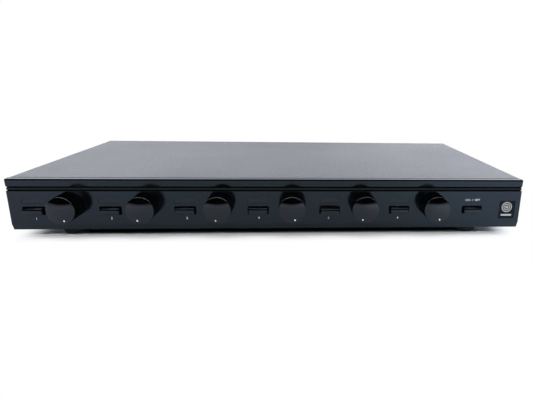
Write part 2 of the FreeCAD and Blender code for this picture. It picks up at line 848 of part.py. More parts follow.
def make_cover():
    """Folded steel cover: top and two sides, with a short lip down over the rear panel."""
    cover = body("top_cover")
    inner_half = half_width - d.cover_thickness
    section = sketch(cover, "cover_section", "XZ_Plane", -back_y)
    outline(section, [
        (-half_width, base_z),
        (-half_width, cover_top_z),
        (half_width, cover_top_z),
        (half_width, base_z),
        (inner_half, base_z),
        (inner_half, cover_under_z),
        (-inner_half, cover_under_z),
        (-inner_half, base_z),
    ])
    length = d.case_depth - d.ledge_depth - d.cover_seam
    shell = pad(cover, "cover_shell", section, length)
    edges = [e for side in SIDES for e in edges_at(shell, x=side * half_width, z=cover_top_z)]
    outer = round_edges(cover, "cover_outer_bends", shell, edges, d.cover_bend)
    edges = [e for side in SIDES for e in edges_at(outer, x=side * inner_half, z=cover_under_z)]
    round_edges(cover, "cover_inner_bends", outer, edges, d.cover_bend - d.cover_thickness)

    lip_half = inner_half - d.cover_bend
    lip = sketch(cover, "lip_outline", "XZ_Plane", -back_y)
    outline(lip, [
        (-lip_half, cover_top_z - d.cover_lip),
        (lip_half, cover_top_z - d.cover_lip),
        (lip_half, cover_under_z + d.cover_thickness / 2),
        (-lip_half, cover_under_z + d.cover_thickness / 2),
    ])
    pad(cover, "rear_lip", lip, d.cover_thickness)

    rear = sketch(cover, "rear_hole_circles", "XZ_Plane", -back_y)
    for side in (-1, 0, 1):
        circle(rear, (side * d.rear_screw_reach, cover_top_z - d.rear_screw_drop),
               screw_hole_radius)
    pocket(cover, "rear_holes", rear, 2 * d.cover_thickness, reverse=True)
    sides = sketch(cover, "side_hole_circles", "YZ_Plane")
    for y in (face_y + d.cover_screw_front, face_y + d.cover_screw_back):
        circle(sides, (y, base_z + d.cover_screw_rise), screw_hole_radius)
    pocket(cover, "side_holes", sides, 2 * d.fascia_width, symmetric=True)
    node("top_cover", cover)


def screw_hole(name, start, way, length):
    return rod(name, start, way, screw_hole_radius, length)


def foot_spots():
    for name, side, y in (
            ("front_left", -1, face_y + d.foot_front),
            ("front_right", 1, face_y + d.foot_front),
            ("rear_left", -1, back_y - d.foot_back),
            ("rear_right", 1, back_y - d.foot_back)):
        yield name, side * d.foot_reach, y


def standoff_spots():
    for side in (-1, 0, 1):
        for name, y in (("front", face_y + d.standoff_front), ("back", back_y - d.standoff_back)):
            yield f"{name}_{side + 2}", side * d.standoff_reach, y


def boss_spots():
    for zone in BOSS_ZONES:
        yield zone, knob_x(zone) + boss_lead, knob_z


def terminal_spots():
    for zone in ZONES:
        yield zone, terminal_x(zone)
    yield "input", d.input_place


terminal_half = 2 * d.terminal_pole + d.terminal_cheek


def make_tray():
    """Floor, two low side flanges and the rear panel, folded from one sheet."""
    sheet = d.tray_thickness
    floor = box("tray_floor", (-tray_half, tray_half), (fascia_back_y, tray_back_y),
                (base_z, floor_z))
    rear = box("tray_rear", (-tray_half, tray_half), (tray_back_y - sheet, tray_back_y),
               (base_z, cover_under_z - d.panel_top_gap))
    pieces = [floor, rear]
    for side, low, high in ((1, -tray_half, sheet - tray_half), (2, tray_half - sheet, tray_half)):
        pieces.append(box(f"tray_flange_{side}", (low, high),
                          (subpanel_back_y + d.sheet_gap, tray_back_y),
                          (base_z, base_z + d.tray_flange)))
    tools = []
    for name, x, y in foot_spots():
        tools.append(screw_hole(f"foot_hole_{name}", (x, y, base_z), "+Z", sheet))
    for name, x, y in standoff_spots():
        tools.append(screw_hole(f"standoff_hole_{name}", (x, y, base_z), "+Z", sheet))
    for index, y in enumerate((face_y + d.cover_screw_front, face_y + d.cover_screw_back)):
        tools.append(screw_hole(f"flange_holes_{index}",
                                (-half_width, y, base_z + d.cover_screw_rise), "+X",
                                d.fascia_width))
    for side in (-1, 0, 1):
        start = (side * d.rear_screw_reach, tray_back_y - sheet,
                 cover_top_z - d.rear_screw_drop)
        tools.append(screw_hole(f"rear_hole_{side + 2}", start, "+Y", sheet))
    gap = d.cutout_gap
    for name, x in terminal_spots():
        tools.append(box(f"terminal_cutout_{name}",
                         (x - terminal_half - gap, x + terminal_half + gap),
                         (tray_back_y - sheet, tray_back_y),
                         (board_top_z - gap, board_top_z + d.terminal_height + gap)))
    node("chassis_tray", cut("chassis_tray", fuse("tray_sheet", *pieces), *tools))


def make_subpanel():
    """Upright plate behind the fascia that carries the switches, with a foot flange."""
    top = cover_under_z - d.panel_top_gap
    plate = box("subpanel_plate", (-tray_half, tray_half), (fascia_back_y, subpanel_back_y),
                (floor_z, top))
    flange_half = tray_half - d.tray_thickness - d.sheet_gap
    foot = box("subpanel_foot", (-flange_half, flange_half),
               (fascia_back_y, fascia_back_y + d.subpanel_flange),
               (floor_z, floor_z + d.subpanel_thickness))
    tools = []
    for zone in ZONES:
        tools.append(rod(f"bushing_hole_{zone}", (knob_x(zone), fascia_back_y, knob_z), "+Y",
                         d.bushing_radius + d.press_clearance, d.subpanel_thickness))
    half = d.plunger_size / 2 + 2 * d.plunger_clearance
    for number in BUTTONS:
        x = button_x(number)
        tools.append(box(f"plunger_slot_{number}", (x - half, x + half),
                         (fascia_back_y, subpanel_back_y), (button_z - half, button_z + half)))
    for zone, x, z in boss_spots():
        tools.append(screw_hole(f"subpanel_hole_{zone}", (x, fascia_back_y, z), "+Y",
                                d.subpanel_thickness))
    node("front_subpanel", cut("front_subpanel", fuse("subpanel_sheet", plate, foot), *tools))


# ---------------------------------------------------------------- boards and what they carry

def make_boards():
    plate = box("main_board_plate", (-d.main_board_half, d.main_board_half),
                (face_y + d.main_board_front,
                 tray_back_y - d.tray_thickness - d.main_board_rear_gap),
                (board_z, board_top_z))
    holes = [screw_hole(f"main_board_hole_{name}", (x, y, board_z), "+Z", d.board_thickness)
             for name, x, y in standoff_spots()]
    node("main_circuit_board", cut("main_circuit_board", plate, *holes))
    node("front_circuit_board", box(
        "front_circuit_board", (-d.switch_board_left, d.switch_board_right),
        (switch_board_y, switch_board_y + d.board_thickness),
        (knob_z - d.switch_board_below, knob_z + d.switch_board_above)))
    pillars = []
    for name, x, y in standoff_spots():
        pillar = rod(f"pillar_{name}", (x, y, floor_z), "+Z", d.standoff_radius,
                     d.standoff_height)
        bore = screw_hole(f"pillar_bore_{name}", (x, y, floor_z), "+Z", d.standoff_height)
        pillars.append(cut(f"standoff_{name}", pillar, bore))
    node("board_standoffs", group("standoff_set", pillars))


def autoformer_spots():
    for zone in ZONES:
        for row in (0, 1):
            yield f"{zone}_{row + 1}", knob_x(zone), \
                face_y + d.autoformer_front + row * d.autoformer_pitch


def make_autoformers():
    cores, coils = [], []
    half_leg = d.core_leg / 2
    gap = d.coil_clearance
    for name, x, y in autoformer_spots():
        y_core = (y - d.core_stack / 2, y + d.core_stack / 2)
        low = board_top_z + d.core_yoke
        core = box(f"core_block_{name}", (x - d.core_width / 2, x + d.core_width / 2), y_core,
                   (board_top_z, low + d.window_height + d.core_yoke))
        windows = []
        for side, edge in ((1, x - half_leg - d.window_width), (2, x + half_leg)):
            windows.append(box(f"window_{name}_{side}", (edge, edge + d.window_width), y_core,
                               (low, low + d.window_height)))
        cores.append(cut(f"core_{name}", core, *windows))
        z_coil = (low + gap, low + d.window_height - gap)
        inner = half_leg + gap
        outer = inner + d.coil_thickness
        inner_y = d.core_stack / 2 + gap
        outer_y = inner_y + d.coil_thickness
        block = box(f"coil_block_{name}", (x - outer, x + outer), (y - outer_y, y + outer_y),
                    z_coil)
        hole = box(f"coil_hole_{name}", (x - inner, x + inner), (y - inner_y, y + inner_y),
                   z_coil)
        coils.append(cut(f"coil_{name}", block, hole))
    node("autoformer_cores", group("core_set", cores))
    node("autoformer_windings", group("coil_set", coils))


def make_resistors():
    count = 4
    y = face_y + d.resistor_place
    half = d.resistor_size / 2
    made = []
    for i in range(count):
        x = (i - (count - 1) / 2) * d.resistor_pitch
        made.append(box(f"resistor_{i + 1}",
                        (x - d.resistor_length / 2, x + d.resistor_length / 2),
                        (y - half, y + half), (board_top_z, board_top_z + d.resistor_size)))
    node("protection_resistors", group("resistor_set", made))


def make_terminal_block(name, x):
    """A four-pole screw terminal block with its wire holes facing the rear."""
    y_front, y_rear = back_y - d.terminal_tail, back_y + d.terminal_reach
    z_top = board_top_z + d.terminal_height
    block = box(f"terminal_case_{name}", (x - terminal_half, x + terminal_half),
                (y_front, y_rear), (board_top_z, z_top))
    tools, screws = [], []
    for pole in range(4):
        pole_x = x + (pole - 1.5) * d.terminal_pole
        tools.append(rod(f"wire_hole_{name}_{pole}",
                         (pole_x, y_rear - d.wire_hole_depth, board_top_z + d.wire_hole_rise),
                         "+Y", d.wire_hole_radius, d.wire_hole_depth))
        screw_y = y_rear - d.clamp_place
        depth = d.clamp_screw_sink + d.clamp_screw_length
        tools.append(rod(f"clamp_well_{name}_{pole}", (pole_x, screw_y, z_top - depth), "+Z",
                         d.clamp_screw_radius + d.clamp_well_clearance, depth))
        screws.append(rod(f"clamp_screw_{name}_{pole}", (pole_x, screw_y, z_top - depth), "+Z",
                          d.clamp_screw_radius, d.clamp_screw_length))
    return cut(f"terminal_block_{name}", block, *tools), screws


def make_terminals():
    blocks, screws = {}, []
    for name, x in terminal_spots():
        blocks[name], made = make_terminal_block(name, x)
        screws += made
    node("input_terminals", blocks.pop("input"))
    node("speaker_terminals", group("speaker_terminal_set", blocks.values()))
    node("terminal_screws", group("terminal_screw_set", screws))


def make_ribbons():
    """Two flat cables from the front board over to the main board, each with its two plugs."""
    front_y = switch_board_y + d.board_thickness
    plug_back = front_y + d.plug_depth
    drop_y = face_y + d.ribbon_drop_place
    low, high = ribbon_z - d.ribbon_thickness, ribbon_z
    header_top = board_top_z + d.plug_height
    pieces = []
    for index, side in enumerate(SIDES, start=1):
        x = side * d.ribbon_reach
        x_range = (x - d.ribbon_width / 2, x + d.ribbon_width / 2)
        cable = body(f"ribbon_{index}")
        section = sketch(cable, f"ribbon_section_{index}", "YZ_Plane")
        outline(section, [
            (plug_back, low),
            (drop_y, low),
            (drop_y, header_top),
            (drop_y + d.ribbon_thickness, header_top),
            (drop_y + d.ribbon_thickness, high),
            (plug_back, high),
        ])
        strip = pad(cable, f"ribbon_strip_{index}", section, d.ribbon_width, symmetric=True)
        edges = edges_at(strip, y=drop_y + d.ribbon_thickness, z=high)
        outer = round_edges(cable, f"ribbon_outer_{index}", strip, edges,
                            d.ribbon_bend + d.ribbon_thickness)
        edges = edges_at(outer, y=drop_y, z=low)
        round_edges(cable, f"ribbon_inner_{index}", outer, edges, d.ribbon_bend)
        place(cable, x)
        middle = ribbon_z - d.ribbon_thickness / 2
        front_plug = box(f"front_plug_{index}", x_range, (front_y, plug_back),
                         (middle - d.plug_height / 2, middle + d.plug_height / 2))
        centre = drop_y + d.ribbon_thickness / 2
        main_plug = box(f"main_plug_{index}", x_range,
                        (centre - d.plug_depth / 2, centre + d.plug_depth / 2),
                        (board_top_z, header_top))
        pieces += [cable, front_plug, main_plug]
    node("ribbon_cables", group("ribbon_set", pieces))


# ---------------------------------------------------------------- feet and screws

def make_feet():
    for name, x, y in foot_spots():
        foot = body(f"foot_{name}")
        section = sketch(foot, f"foot_section_{name}", "XZ_Plane")
        outline(section, [
            (d.foot_recess_radius, size(0)),
            (d.foot_radius - d.foot_taper, size(0)),
            (d.foot_radius, base_z),
            (screw_hole_radius, base_z),
            (screw_hole_radius, d.foot_recess_depth),
            (d.foot_recess_radius, d.foot_recess_depth),
        ])
        revolve(foot, f"foot_turned_{name}", section, "Z_Axis")
        place(foot, x, y)
        node(f"foot_{name}", foot)


def make_screws():
    screws = [screw(f"foot_screw_{name}", (x, y, d.foot_recess_depth), "+Z",
                    d.foot_screw_length) for name, x, y in foot_spots()]
    node("foot_screws", group("foot_screw_set", screws))

    screws = [screw(f"board_screw_{name}", (x, y, board_top_z), "-Z", d.board_screw_length)
              for name, x, y in standoff_spots()]
    node("board_screws", group("board_screw_set", screws))

    screws = [screw(f"fascia_screw_{zone}", (x, subpanel_back_y, z), "-Y",
                    d.fascia_screw_length) for zone, x, z in boss_spots()]
    node("fascia_screws", group("fascia_screw_set", screws))

    screws = []
    for row, y in (("front", face_y + d.cover_screw_front), ("back", face_y + d.cover_screw_back)):
        z = base_z + d.cover_screw_rise
        screws.append(screw(f"left_screw_{row}", (-half_width, y, z), "+X",
                            d.cover_screw_length))
        screws.append(screw(f"right_screw_{row}", (half_width, y, z), "-X",
                            d.cover_screw_length))
    for side in (-1, 0, 1):
        seat = (side * d.rear_screw_reach, back_y, cover_top_z - d.rear_screw_drop)
        screws.append(screw(f"rear_screw_{side + 2}", seat, "-Y", d.cover_screw_length))
    node("cover_screws", group("cover_screw_set", screws))


# ---------------------------------------------------------------- build, check and write

def build():
    make_fascia()
    make_inserts()
    for zone in ZONES:
        make_knob(zone)
        make_shaft(zone)
        make_rotary_switch(zone)
    make_switch_fixings()
    for number in BUTTONS:
        make_button(number)
        make_plunger(number)
    make_push_switches()
    make_cover()
    make_tray()
    make_subpanel()
    make_boards()
    make_autoformers()
    make_resistors()
    make_terminals()
    make_ribbons()
    make_feet()
    make_screws()
    doc.recompute()


def check():
    for thing in doc.Objects:
        if "Invalid" in thing.State or "Error" in thing.State:
            raise RuntimeError(f"{thing.Label} failed to compute: {thing.State}")
    for name, thing in NODES.items():
        if thing.Shape.isNull() or not thing.Shape.isValid() or not thing.Shape.Solids:
            raise RuntimeError(f"{name} has no valid solid")


def write():
    os.makedirs("parts", exist_ok=True)
    for name, thing in NODES.items():
        thing.Shape.exportStep(os.path.join("parts", f"{name}.step"))
    print(f"{len(NODES)} parts written")


build()
check()
write()
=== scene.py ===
import json
import math

import bmesh
import bpy
from mathutils import Matrix, Vector


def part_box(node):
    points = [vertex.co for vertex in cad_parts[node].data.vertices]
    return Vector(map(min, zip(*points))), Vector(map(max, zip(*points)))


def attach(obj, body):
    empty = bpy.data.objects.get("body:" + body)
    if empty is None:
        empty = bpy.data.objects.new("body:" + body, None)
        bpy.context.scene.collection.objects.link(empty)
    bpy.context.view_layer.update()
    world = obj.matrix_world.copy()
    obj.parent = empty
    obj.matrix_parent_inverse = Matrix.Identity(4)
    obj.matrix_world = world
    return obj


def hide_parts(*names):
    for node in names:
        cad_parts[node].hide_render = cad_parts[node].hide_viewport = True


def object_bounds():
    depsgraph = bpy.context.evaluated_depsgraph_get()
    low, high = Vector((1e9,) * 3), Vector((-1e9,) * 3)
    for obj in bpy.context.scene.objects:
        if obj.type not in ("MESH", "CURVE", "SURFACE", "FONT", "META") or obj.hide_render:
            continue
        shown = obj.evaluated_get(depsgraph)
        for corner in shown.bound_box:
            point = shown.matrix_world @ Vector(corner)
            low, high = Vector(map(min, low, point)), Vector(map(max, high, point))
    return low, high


# Looks for a six-zone speaker selector: fluted gloss knobs with a painted dot, push
# buttons, printed zone numbers, a plain badge, textured paint, screws, feet and rear print.
# Metres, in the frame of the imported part: +X right of the front, +Y to the rear, +Z up.

MM = 0.001
ZONES = range(1, 7)
BUTTONS = range(1, 8)

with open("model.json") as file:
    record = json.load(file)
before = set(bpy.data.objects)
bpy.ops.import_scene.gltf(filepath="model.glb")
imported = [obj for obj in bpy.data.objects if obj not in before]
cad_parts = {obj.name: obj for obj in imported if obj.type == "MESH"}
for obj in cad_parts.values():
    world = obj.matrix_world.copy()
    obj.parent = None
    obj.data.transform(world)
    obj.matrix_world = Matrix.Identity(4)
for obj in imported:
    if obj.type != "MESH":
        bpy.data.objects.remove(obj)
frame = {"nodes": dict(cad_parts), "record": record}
nodes = frame["nodes"]
cad_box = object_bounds()


# ---------------------------------------------------------------- places taken from the frame

def middle(node):
    low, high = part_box(node)
    return (low + high) / 2


FASCIA_LOW, FASCIA_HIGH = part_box("fascia")
COVER_LOW, COVER_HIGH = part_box("top_cover")
FACE_Y = FASCIA_LOW.y
TOP_Z = FASCIA_HIGH.z
BASE_Z = FASCIA_LOW.z
REAR_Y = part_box("chassis_tray")[1].y


# ---------------------------------------------------------------- meshes

def link(name, data):
    thing = bpy.data.objects.new(name, data)
    bpy.context.scene.collection.objects.link(thing)
    return thing


SHARP = 35    # degrees by which an edge turns to stay sharp, where nothing else is said


def smooth(mesh, angle=SHARP):
    """Shade smooth, but keep the edges that turn by more than angle degrees."""
    mesh.shade_smooth()
    mesh.set_sharp_from_angle(angle=math.radians(angle))


def mesh_from(name, points, faces, angle=SHARP):
    mesh = bpy.data.meshes.new(name)
    mesh.from_pydata([tuple(p) for p in points], [], faces)
    work = bmesh.new()
    work.from_mesh(mesh)
    bmesh.ops.recalc_face_normals(work, faces=work.faces)
    work.to_mesh(mesh)
    work.free()
    smooth(mesh, angle)
    return mesh


def turned(name, profile, segments, shape=None, angle=SHARP):
    """A closed solid of revolution about Z, from a profile of (radius, height) points.

    The profile runs from pole to pole, or round a ring that has none. shape, where it is
    given, takes a point's index in its ring and its radius, and says its new radius.
    """
    on_axis = 1e-7
    points, rings = [], []
    for radius, height in profile:
        if radius < on_axis:
            rings.append([len(points)])
            points.append((0, 0, height))
            continue
        ring = []
        for i in range(segments):
            turn = 2 * math.pi * i / segments
            r = shape(i, radius) if shape else radius
            ring.append(len(points))
            points.append((r * math.cos(turn), r * math.sin(turn), height))
        rings.append(ring)
    faces = []
    for low, high in zip(rings, rings[1:]):
        for i in range(segments):
            j = (i + 1) % segments
            if len(low) == 1:
                faces.append((low[0], high[i], high[j]))
            elif len(high) == 1:
                faces.append((low[i], low[j], high[0]))
            else:
                faces.append((low[i], low[j], high[j], high[i]))
    if len(rings[0]) > 1 and len(rings[-1]) > 1:
        for i in range(segments):
            j = (i + 1) % segments
            faces.append((rings[-1][i], rings[-1][j], rings[0][j], rings[0][i]))
    return mesh_from(name, points, faces, angle)


def bevelled(mesh, width, segments=3):
    """Round every sharp edge of a mesh."""
    sharp_before, sharp_after = 40, 50    # degrees by which an edge turns
    work = bmesh.new()
    work.from_mesh(mesh)
    edges = [e for e in work.edges if e.calc_face_angle(0) > math.radians(sharp_before)]
    bmesh.ops.bevel(work, geom=edges, offset=width, segments=segments, profile=0.5,
                    affect="EDGES", clamp_overlap=True)
    work.to_mesh(mesh)
    work.free()
    smooth(mesh, sharp_after)
    return mesh


def lofted(name, rings):
    """A closed solid through rings that have the same number of points, capped at its ends."""
    count = len(rings[0])
    points = [p for ring in rings for p in ring]
    faces = [tuple(range(count)), tuple(range(len(points) - 1, len(points) - count - 1, -1))]
    for k in range(len(rings) - 1):
        for i in range(count):
            j = (i + 1) % count
            faces.append((k * count + i, k * count + j, (k + 1) * count + j,
                          (k + 1) * count + i))
    return mesh_from(name, points, faces)


def prism(name, outline, low, high):
    """A closed prism: an outline of (y, z) points, run along X from low to high."""
    return lofted(name, [[(x, y, z) for y, z in outline] for x in (low, high)])


def block(name, x_range, y_range, z_range):
    """A small box, to carve with or as a printed bar."""
    (y0, y1), (z0, z1) = y_range, z_range
    return prism(name, [(y0, z0), (y1, z0), (y1, z1), (y0, z1)], *x_range)


def rounded_plate(name, width, height, corner, thickness):
    """A flat plate with round corners in the XZ plane, its front face at y = -thickness."""
    steps = 8
    rim = []
    for quarter, (sx, sz) in enumerate(((1, 1), (-1, 1), (-1, -1), (1, -1))):
        for step in range(steps + 1):
            turn = (quarter + step / steps) * math.pi / 2
            rim.append((sx * (width / 2 - corner) + corner * math.cos(turn),
                        sz * (height / 2 - corner) + corner * math.sin(turn)))
    return lofted(name, [[(x, y, z) for x, z in rim] for y in (0, -thickness)])


def joined(name, meshes):
    """One mesh from several, each given with its place."""
    work = bmesh.new()
    for mesh, place in meshes:
        part = mesh.copy()
        part.transform(place)
        work.from_mesh(part)
        bpy.data.meshes.remove(part)
    mesh = bpy.data.meshes.new(name)
    work.to_mesh(mesh)
    work.free()
    smooth(mesh)
    return mesh


def carved(name, mesh, *tools):
    """The mesh with each tool's volume taken out of it."""
    for tool in tools:
        base, cutter = link(name, mesh), link(name + "_cutter", tool)
        change = base.modifiers.new("carve", "BOOLEAN")
        change.operation = "DIFFERENCE"
        change.solver = "EXACT"
        change.object = cutter
        graph = bpy.context.evaluated_depsgraph_get()
        mesh = bpy.data.meshes.new_from_object(base.evaluated_get(graph))
        for thing in (base, cutter):
            bpy.data.objects.remove(thing)
    smooth(mesh)
    return mesh


CAPITAL_HEIGHT = 0.70    # of the font's size


def lettering(name, words, height, thickness):
    """Plain lettering in the XZ plane, centred on the origin, facing -Y."""
    curve = bpy.data.curves.new(name, "FONT")
    curve.body = words
    curve.align_x = "CENTER"
    curve.size = height / CAPITAL_HEIGHT
    curve.extrude = thickness / 2
    curve.resolution_u = 4
    holder = link(name, curve)
    graph = bpy.context.evaluated_depsgraph_get()
    mesh = bpy.data.meshes.new_from_object(holder.evaluated_get(graph))
    bpy.data.objects.remove(holder)
    mesh.transform(Matrix.Rotation(math.pi / 2, 4, "X"))
    low = min(v.co.z for v in mesh.vertices)
    high = max(v.co.z for v in mesh.vertices)
    left = min(v.co.x for v in mesh.vertices)
    right = max(v.co.x for v in mesh.vertices)
    mesh.transform(Matrix.Translation((-(left + right) / 2, -thickness / 2, -(low + high) / 2)))
    return mesh


# ---------------------------------------------------------------- materials

class Nodes:
    """The nodes of a material or of the world."""

    def __init__(self, tree):
        self.tree = tree
        self.tree.nodes.clear()

    def add(self, kind, **values):
        made = self.tree.nodes.new("ShaderNode" + kind)
        for name, value in values.items():
            made.inputs[name.replace("_", " ")].default_value = value
        return made

    def join(self, source, target):
        self.tree.links.new(source, target)

    def spread(self, value, low, high, start, end, kind="LINEAR"):
        """From low at start to high at end, and level outside them."""
        made = self.add("MapRange", From_Min=start, From_Max=end, To_Min=low, To_Max=high)
        made.interpolation_type = kind
        self.join(value, made.inputs["Value"])
        return made.outputs["Result"]

    def blend(self, amount, first, second, clamp=True):
        """A colour between two; each is a colour or another node's output."""
        made = self.add("Mix")
        made.data_type = "RGBA"
        made.clamp_factor = clamp
        self.join(amount, made.inputs[0])
        for socket, colour in ((made.inputs[6], first), (made.inputs[7], second)):
            if isinstance(colour, (tuple, list)):
                socket.default_value = (*colour, 1)
            else:
                self.join(colour, socket)
        return made.outputs[2]

    def math(self, operation, first, second=0):
        """Each of the two is a number or another node's output."""
        made = self.add("Math")
        made.operation = operation
        for socket, value in zip(made.inputs, (first, second)):
            if isinstance(value, (int, float)):
                socket.default_value = value
            else:
                self.join(value, socket)
        return made.outputs[0]

    def total(self, first, second, weight):
        """first + weight * second"""
        return self.math("ADD", first, self.math("MULTIPLY", second, weight))


class Shader(Nodes):
    """One material: a Principled shader and the nodes that feed it."""

    def __init__(self, name, roughness, metallic=0.0, ior=1.5):
        self.material = bpy.data.materials.new(name)
        self.material.use_nodes = True
        super().__init__(self.material.node_tree)
        self.output = self.add("OutputMaterial")
        self.surface = self.add("BsdfPrincipled", Roughness=roughness, Metallic=metallic, IOR=ior)
        self.join(self.surface.outputs[0], self.output.inputs["Surface"])
        self.place = self.add("TexCoord").outputs["Object"]

    def stretched(self, stretch):
        """The place on the object, scaled along each axis."""
        if stretch is None:
            return self.place
        made = self.add("Mapping", Scale=stretch)
        self.join(self.place, made.inputs["Vector"])
        return made.outputs["Vector"]

    def noise(self, size, detail=2.0, rough=0.5, stretch=None):
        """A cloud of values from 0 to 1 whose lumps are about size across."""
        made = self.add("TexNoise", Scale=1 / size, Detail=detail, Roughness=rough)
        self.join(self.stretched(stretch), made.inputs["Vector"])
        return made.outputs[0]

    def inside(self, low, high, behind):
        """One between two heights and behind a depth on the object, nought elsewhere."""
        parts = self.add("SeparateXYZ")
        self.join(self.place, parts.inputs[0])
        edge = 0.15 * MM
        above = self.spread(parts.outputs["Z"], 0.0, 1.0, low, low + edge)
        below = self.spread(parts.outputs["Z"], 1.0, 0.0, high - edge, high)
        deep = self.spread(parts.outputs["Y"], 0.0, 1.0, behind, behind + edge)
        return self.math("MULTIPLY", self.math("MULTIPLY", above, below), deep)

    def relief(self, height, depth):
        made = self.add("Bump", Strength=1.0, Distance=depth)
        self.join(height, made.inputs["Height"])
        self.join(made.outputs["Normal"], self.surface.inputs["Normal"])


def scaled(colour, factor):
    return tuple(min(1.0, c * factor) for c in colour)


MATT = 0.8    # added to the roughness


def grained(name, colour, vary, roughness, rough_vary, grain, depth, metallic=0.0, ior=1.5,
            stretch=None, cloud=0.04, cloud_weight=0.5, tint=None, matt_slot=None,
            painted_shade_gaps=()):
    """A surface with fine grain and broad clouds in its colour, roughness and relief.

    vary is how far the colour goes up and down as a part of itself, and rough_vary how far
    the roughness does. grain and cloud are the sizes of the lumps in metres, and depth is the
    relief's. matt_slot is a place without gloss. painted_shade_gaps are places of painted shade,
    where a near-black colour is taken as a metal's, which makes them black with no reflection.
    """
    shader = Shader(name, roughness, metallic, ior)
    if tint:
        shader.surface.inputs["Specular Tint"].default_value = (*tint, 1)
    fine = shader.noise(grain, detail=3.0, rough=0.6, stretch=stretch)
    broad = shader.noise(cloud, detail=3.0)
    centre = 0.5 + 0.5 * cloud_weight
    mixed = shader.spread(shader.total(fine, broad, cloud_weight), 0.0, 1.0,
                          centre - 0.25, centre + 0.25)
    hue = shader.blend(mixed, scaled(colour, 1 - vary), scaled(colour, 1 + vary))
    shader.join(hue, shader.surface.inputs["Base Color"])
    rough = shader.spread(shader.total(broad, fine, 0.5), roughness - rough_vary,
                          roughness + rough_vary, 0.5, 1.0)
    if matt_slot:
        rough = shader.total(rough, shader.inside(*matt_slot), MATT)
    shader.join(rough, shader.surface.inputs["Roughness"])
    # Painted shade: in these places Metallic is 1 on a near-black colour, so they reflect nothing
    # and stay black.
    if painted_shade_gaps:
        gap = 0.0
        for bounds in painted_shade_gaps:
            gap = shader.math("MAXIMUM", shader.inside(*bounds), gap)
        shader.join(gap, shader.surface.inputs["Metallic"])
    shader.relief(fine, depth)
    return shader.material


COOL = (0.82, 0.94, 1.0)    # tint of the moulding's gloss

# Places on the fascia, as Shader.inside takes them: the matt bottom of its long groove, and the
# places of painted shade, made black, behind and under the groove's bead and on the round at the
# top of the strip.
GROOVE_TOP, GROOVE_FOOT = TOP_Z - 6.6 * MM, TOP_Z - 10.4 * MM
GROOVE_FLOOR = (GROOVE_FOOT, GROOVE_TOP, FACE_Y + 0.7 * MM)
BEHIND_BEAD = (GROOVE_FOOT, GROOVE_TOP, FACE_Y + 1.1 * MM)
UNDER_BEAD = (GROOVE_FOOT, GROOVE_FOOT + 1.0 * MM, FACE_Y + 0.15 * MM)
TOP_ROUND = (TOP_Z - 1.25 * MM, TOP_Z - 0.25 * MM, FACE_Y)

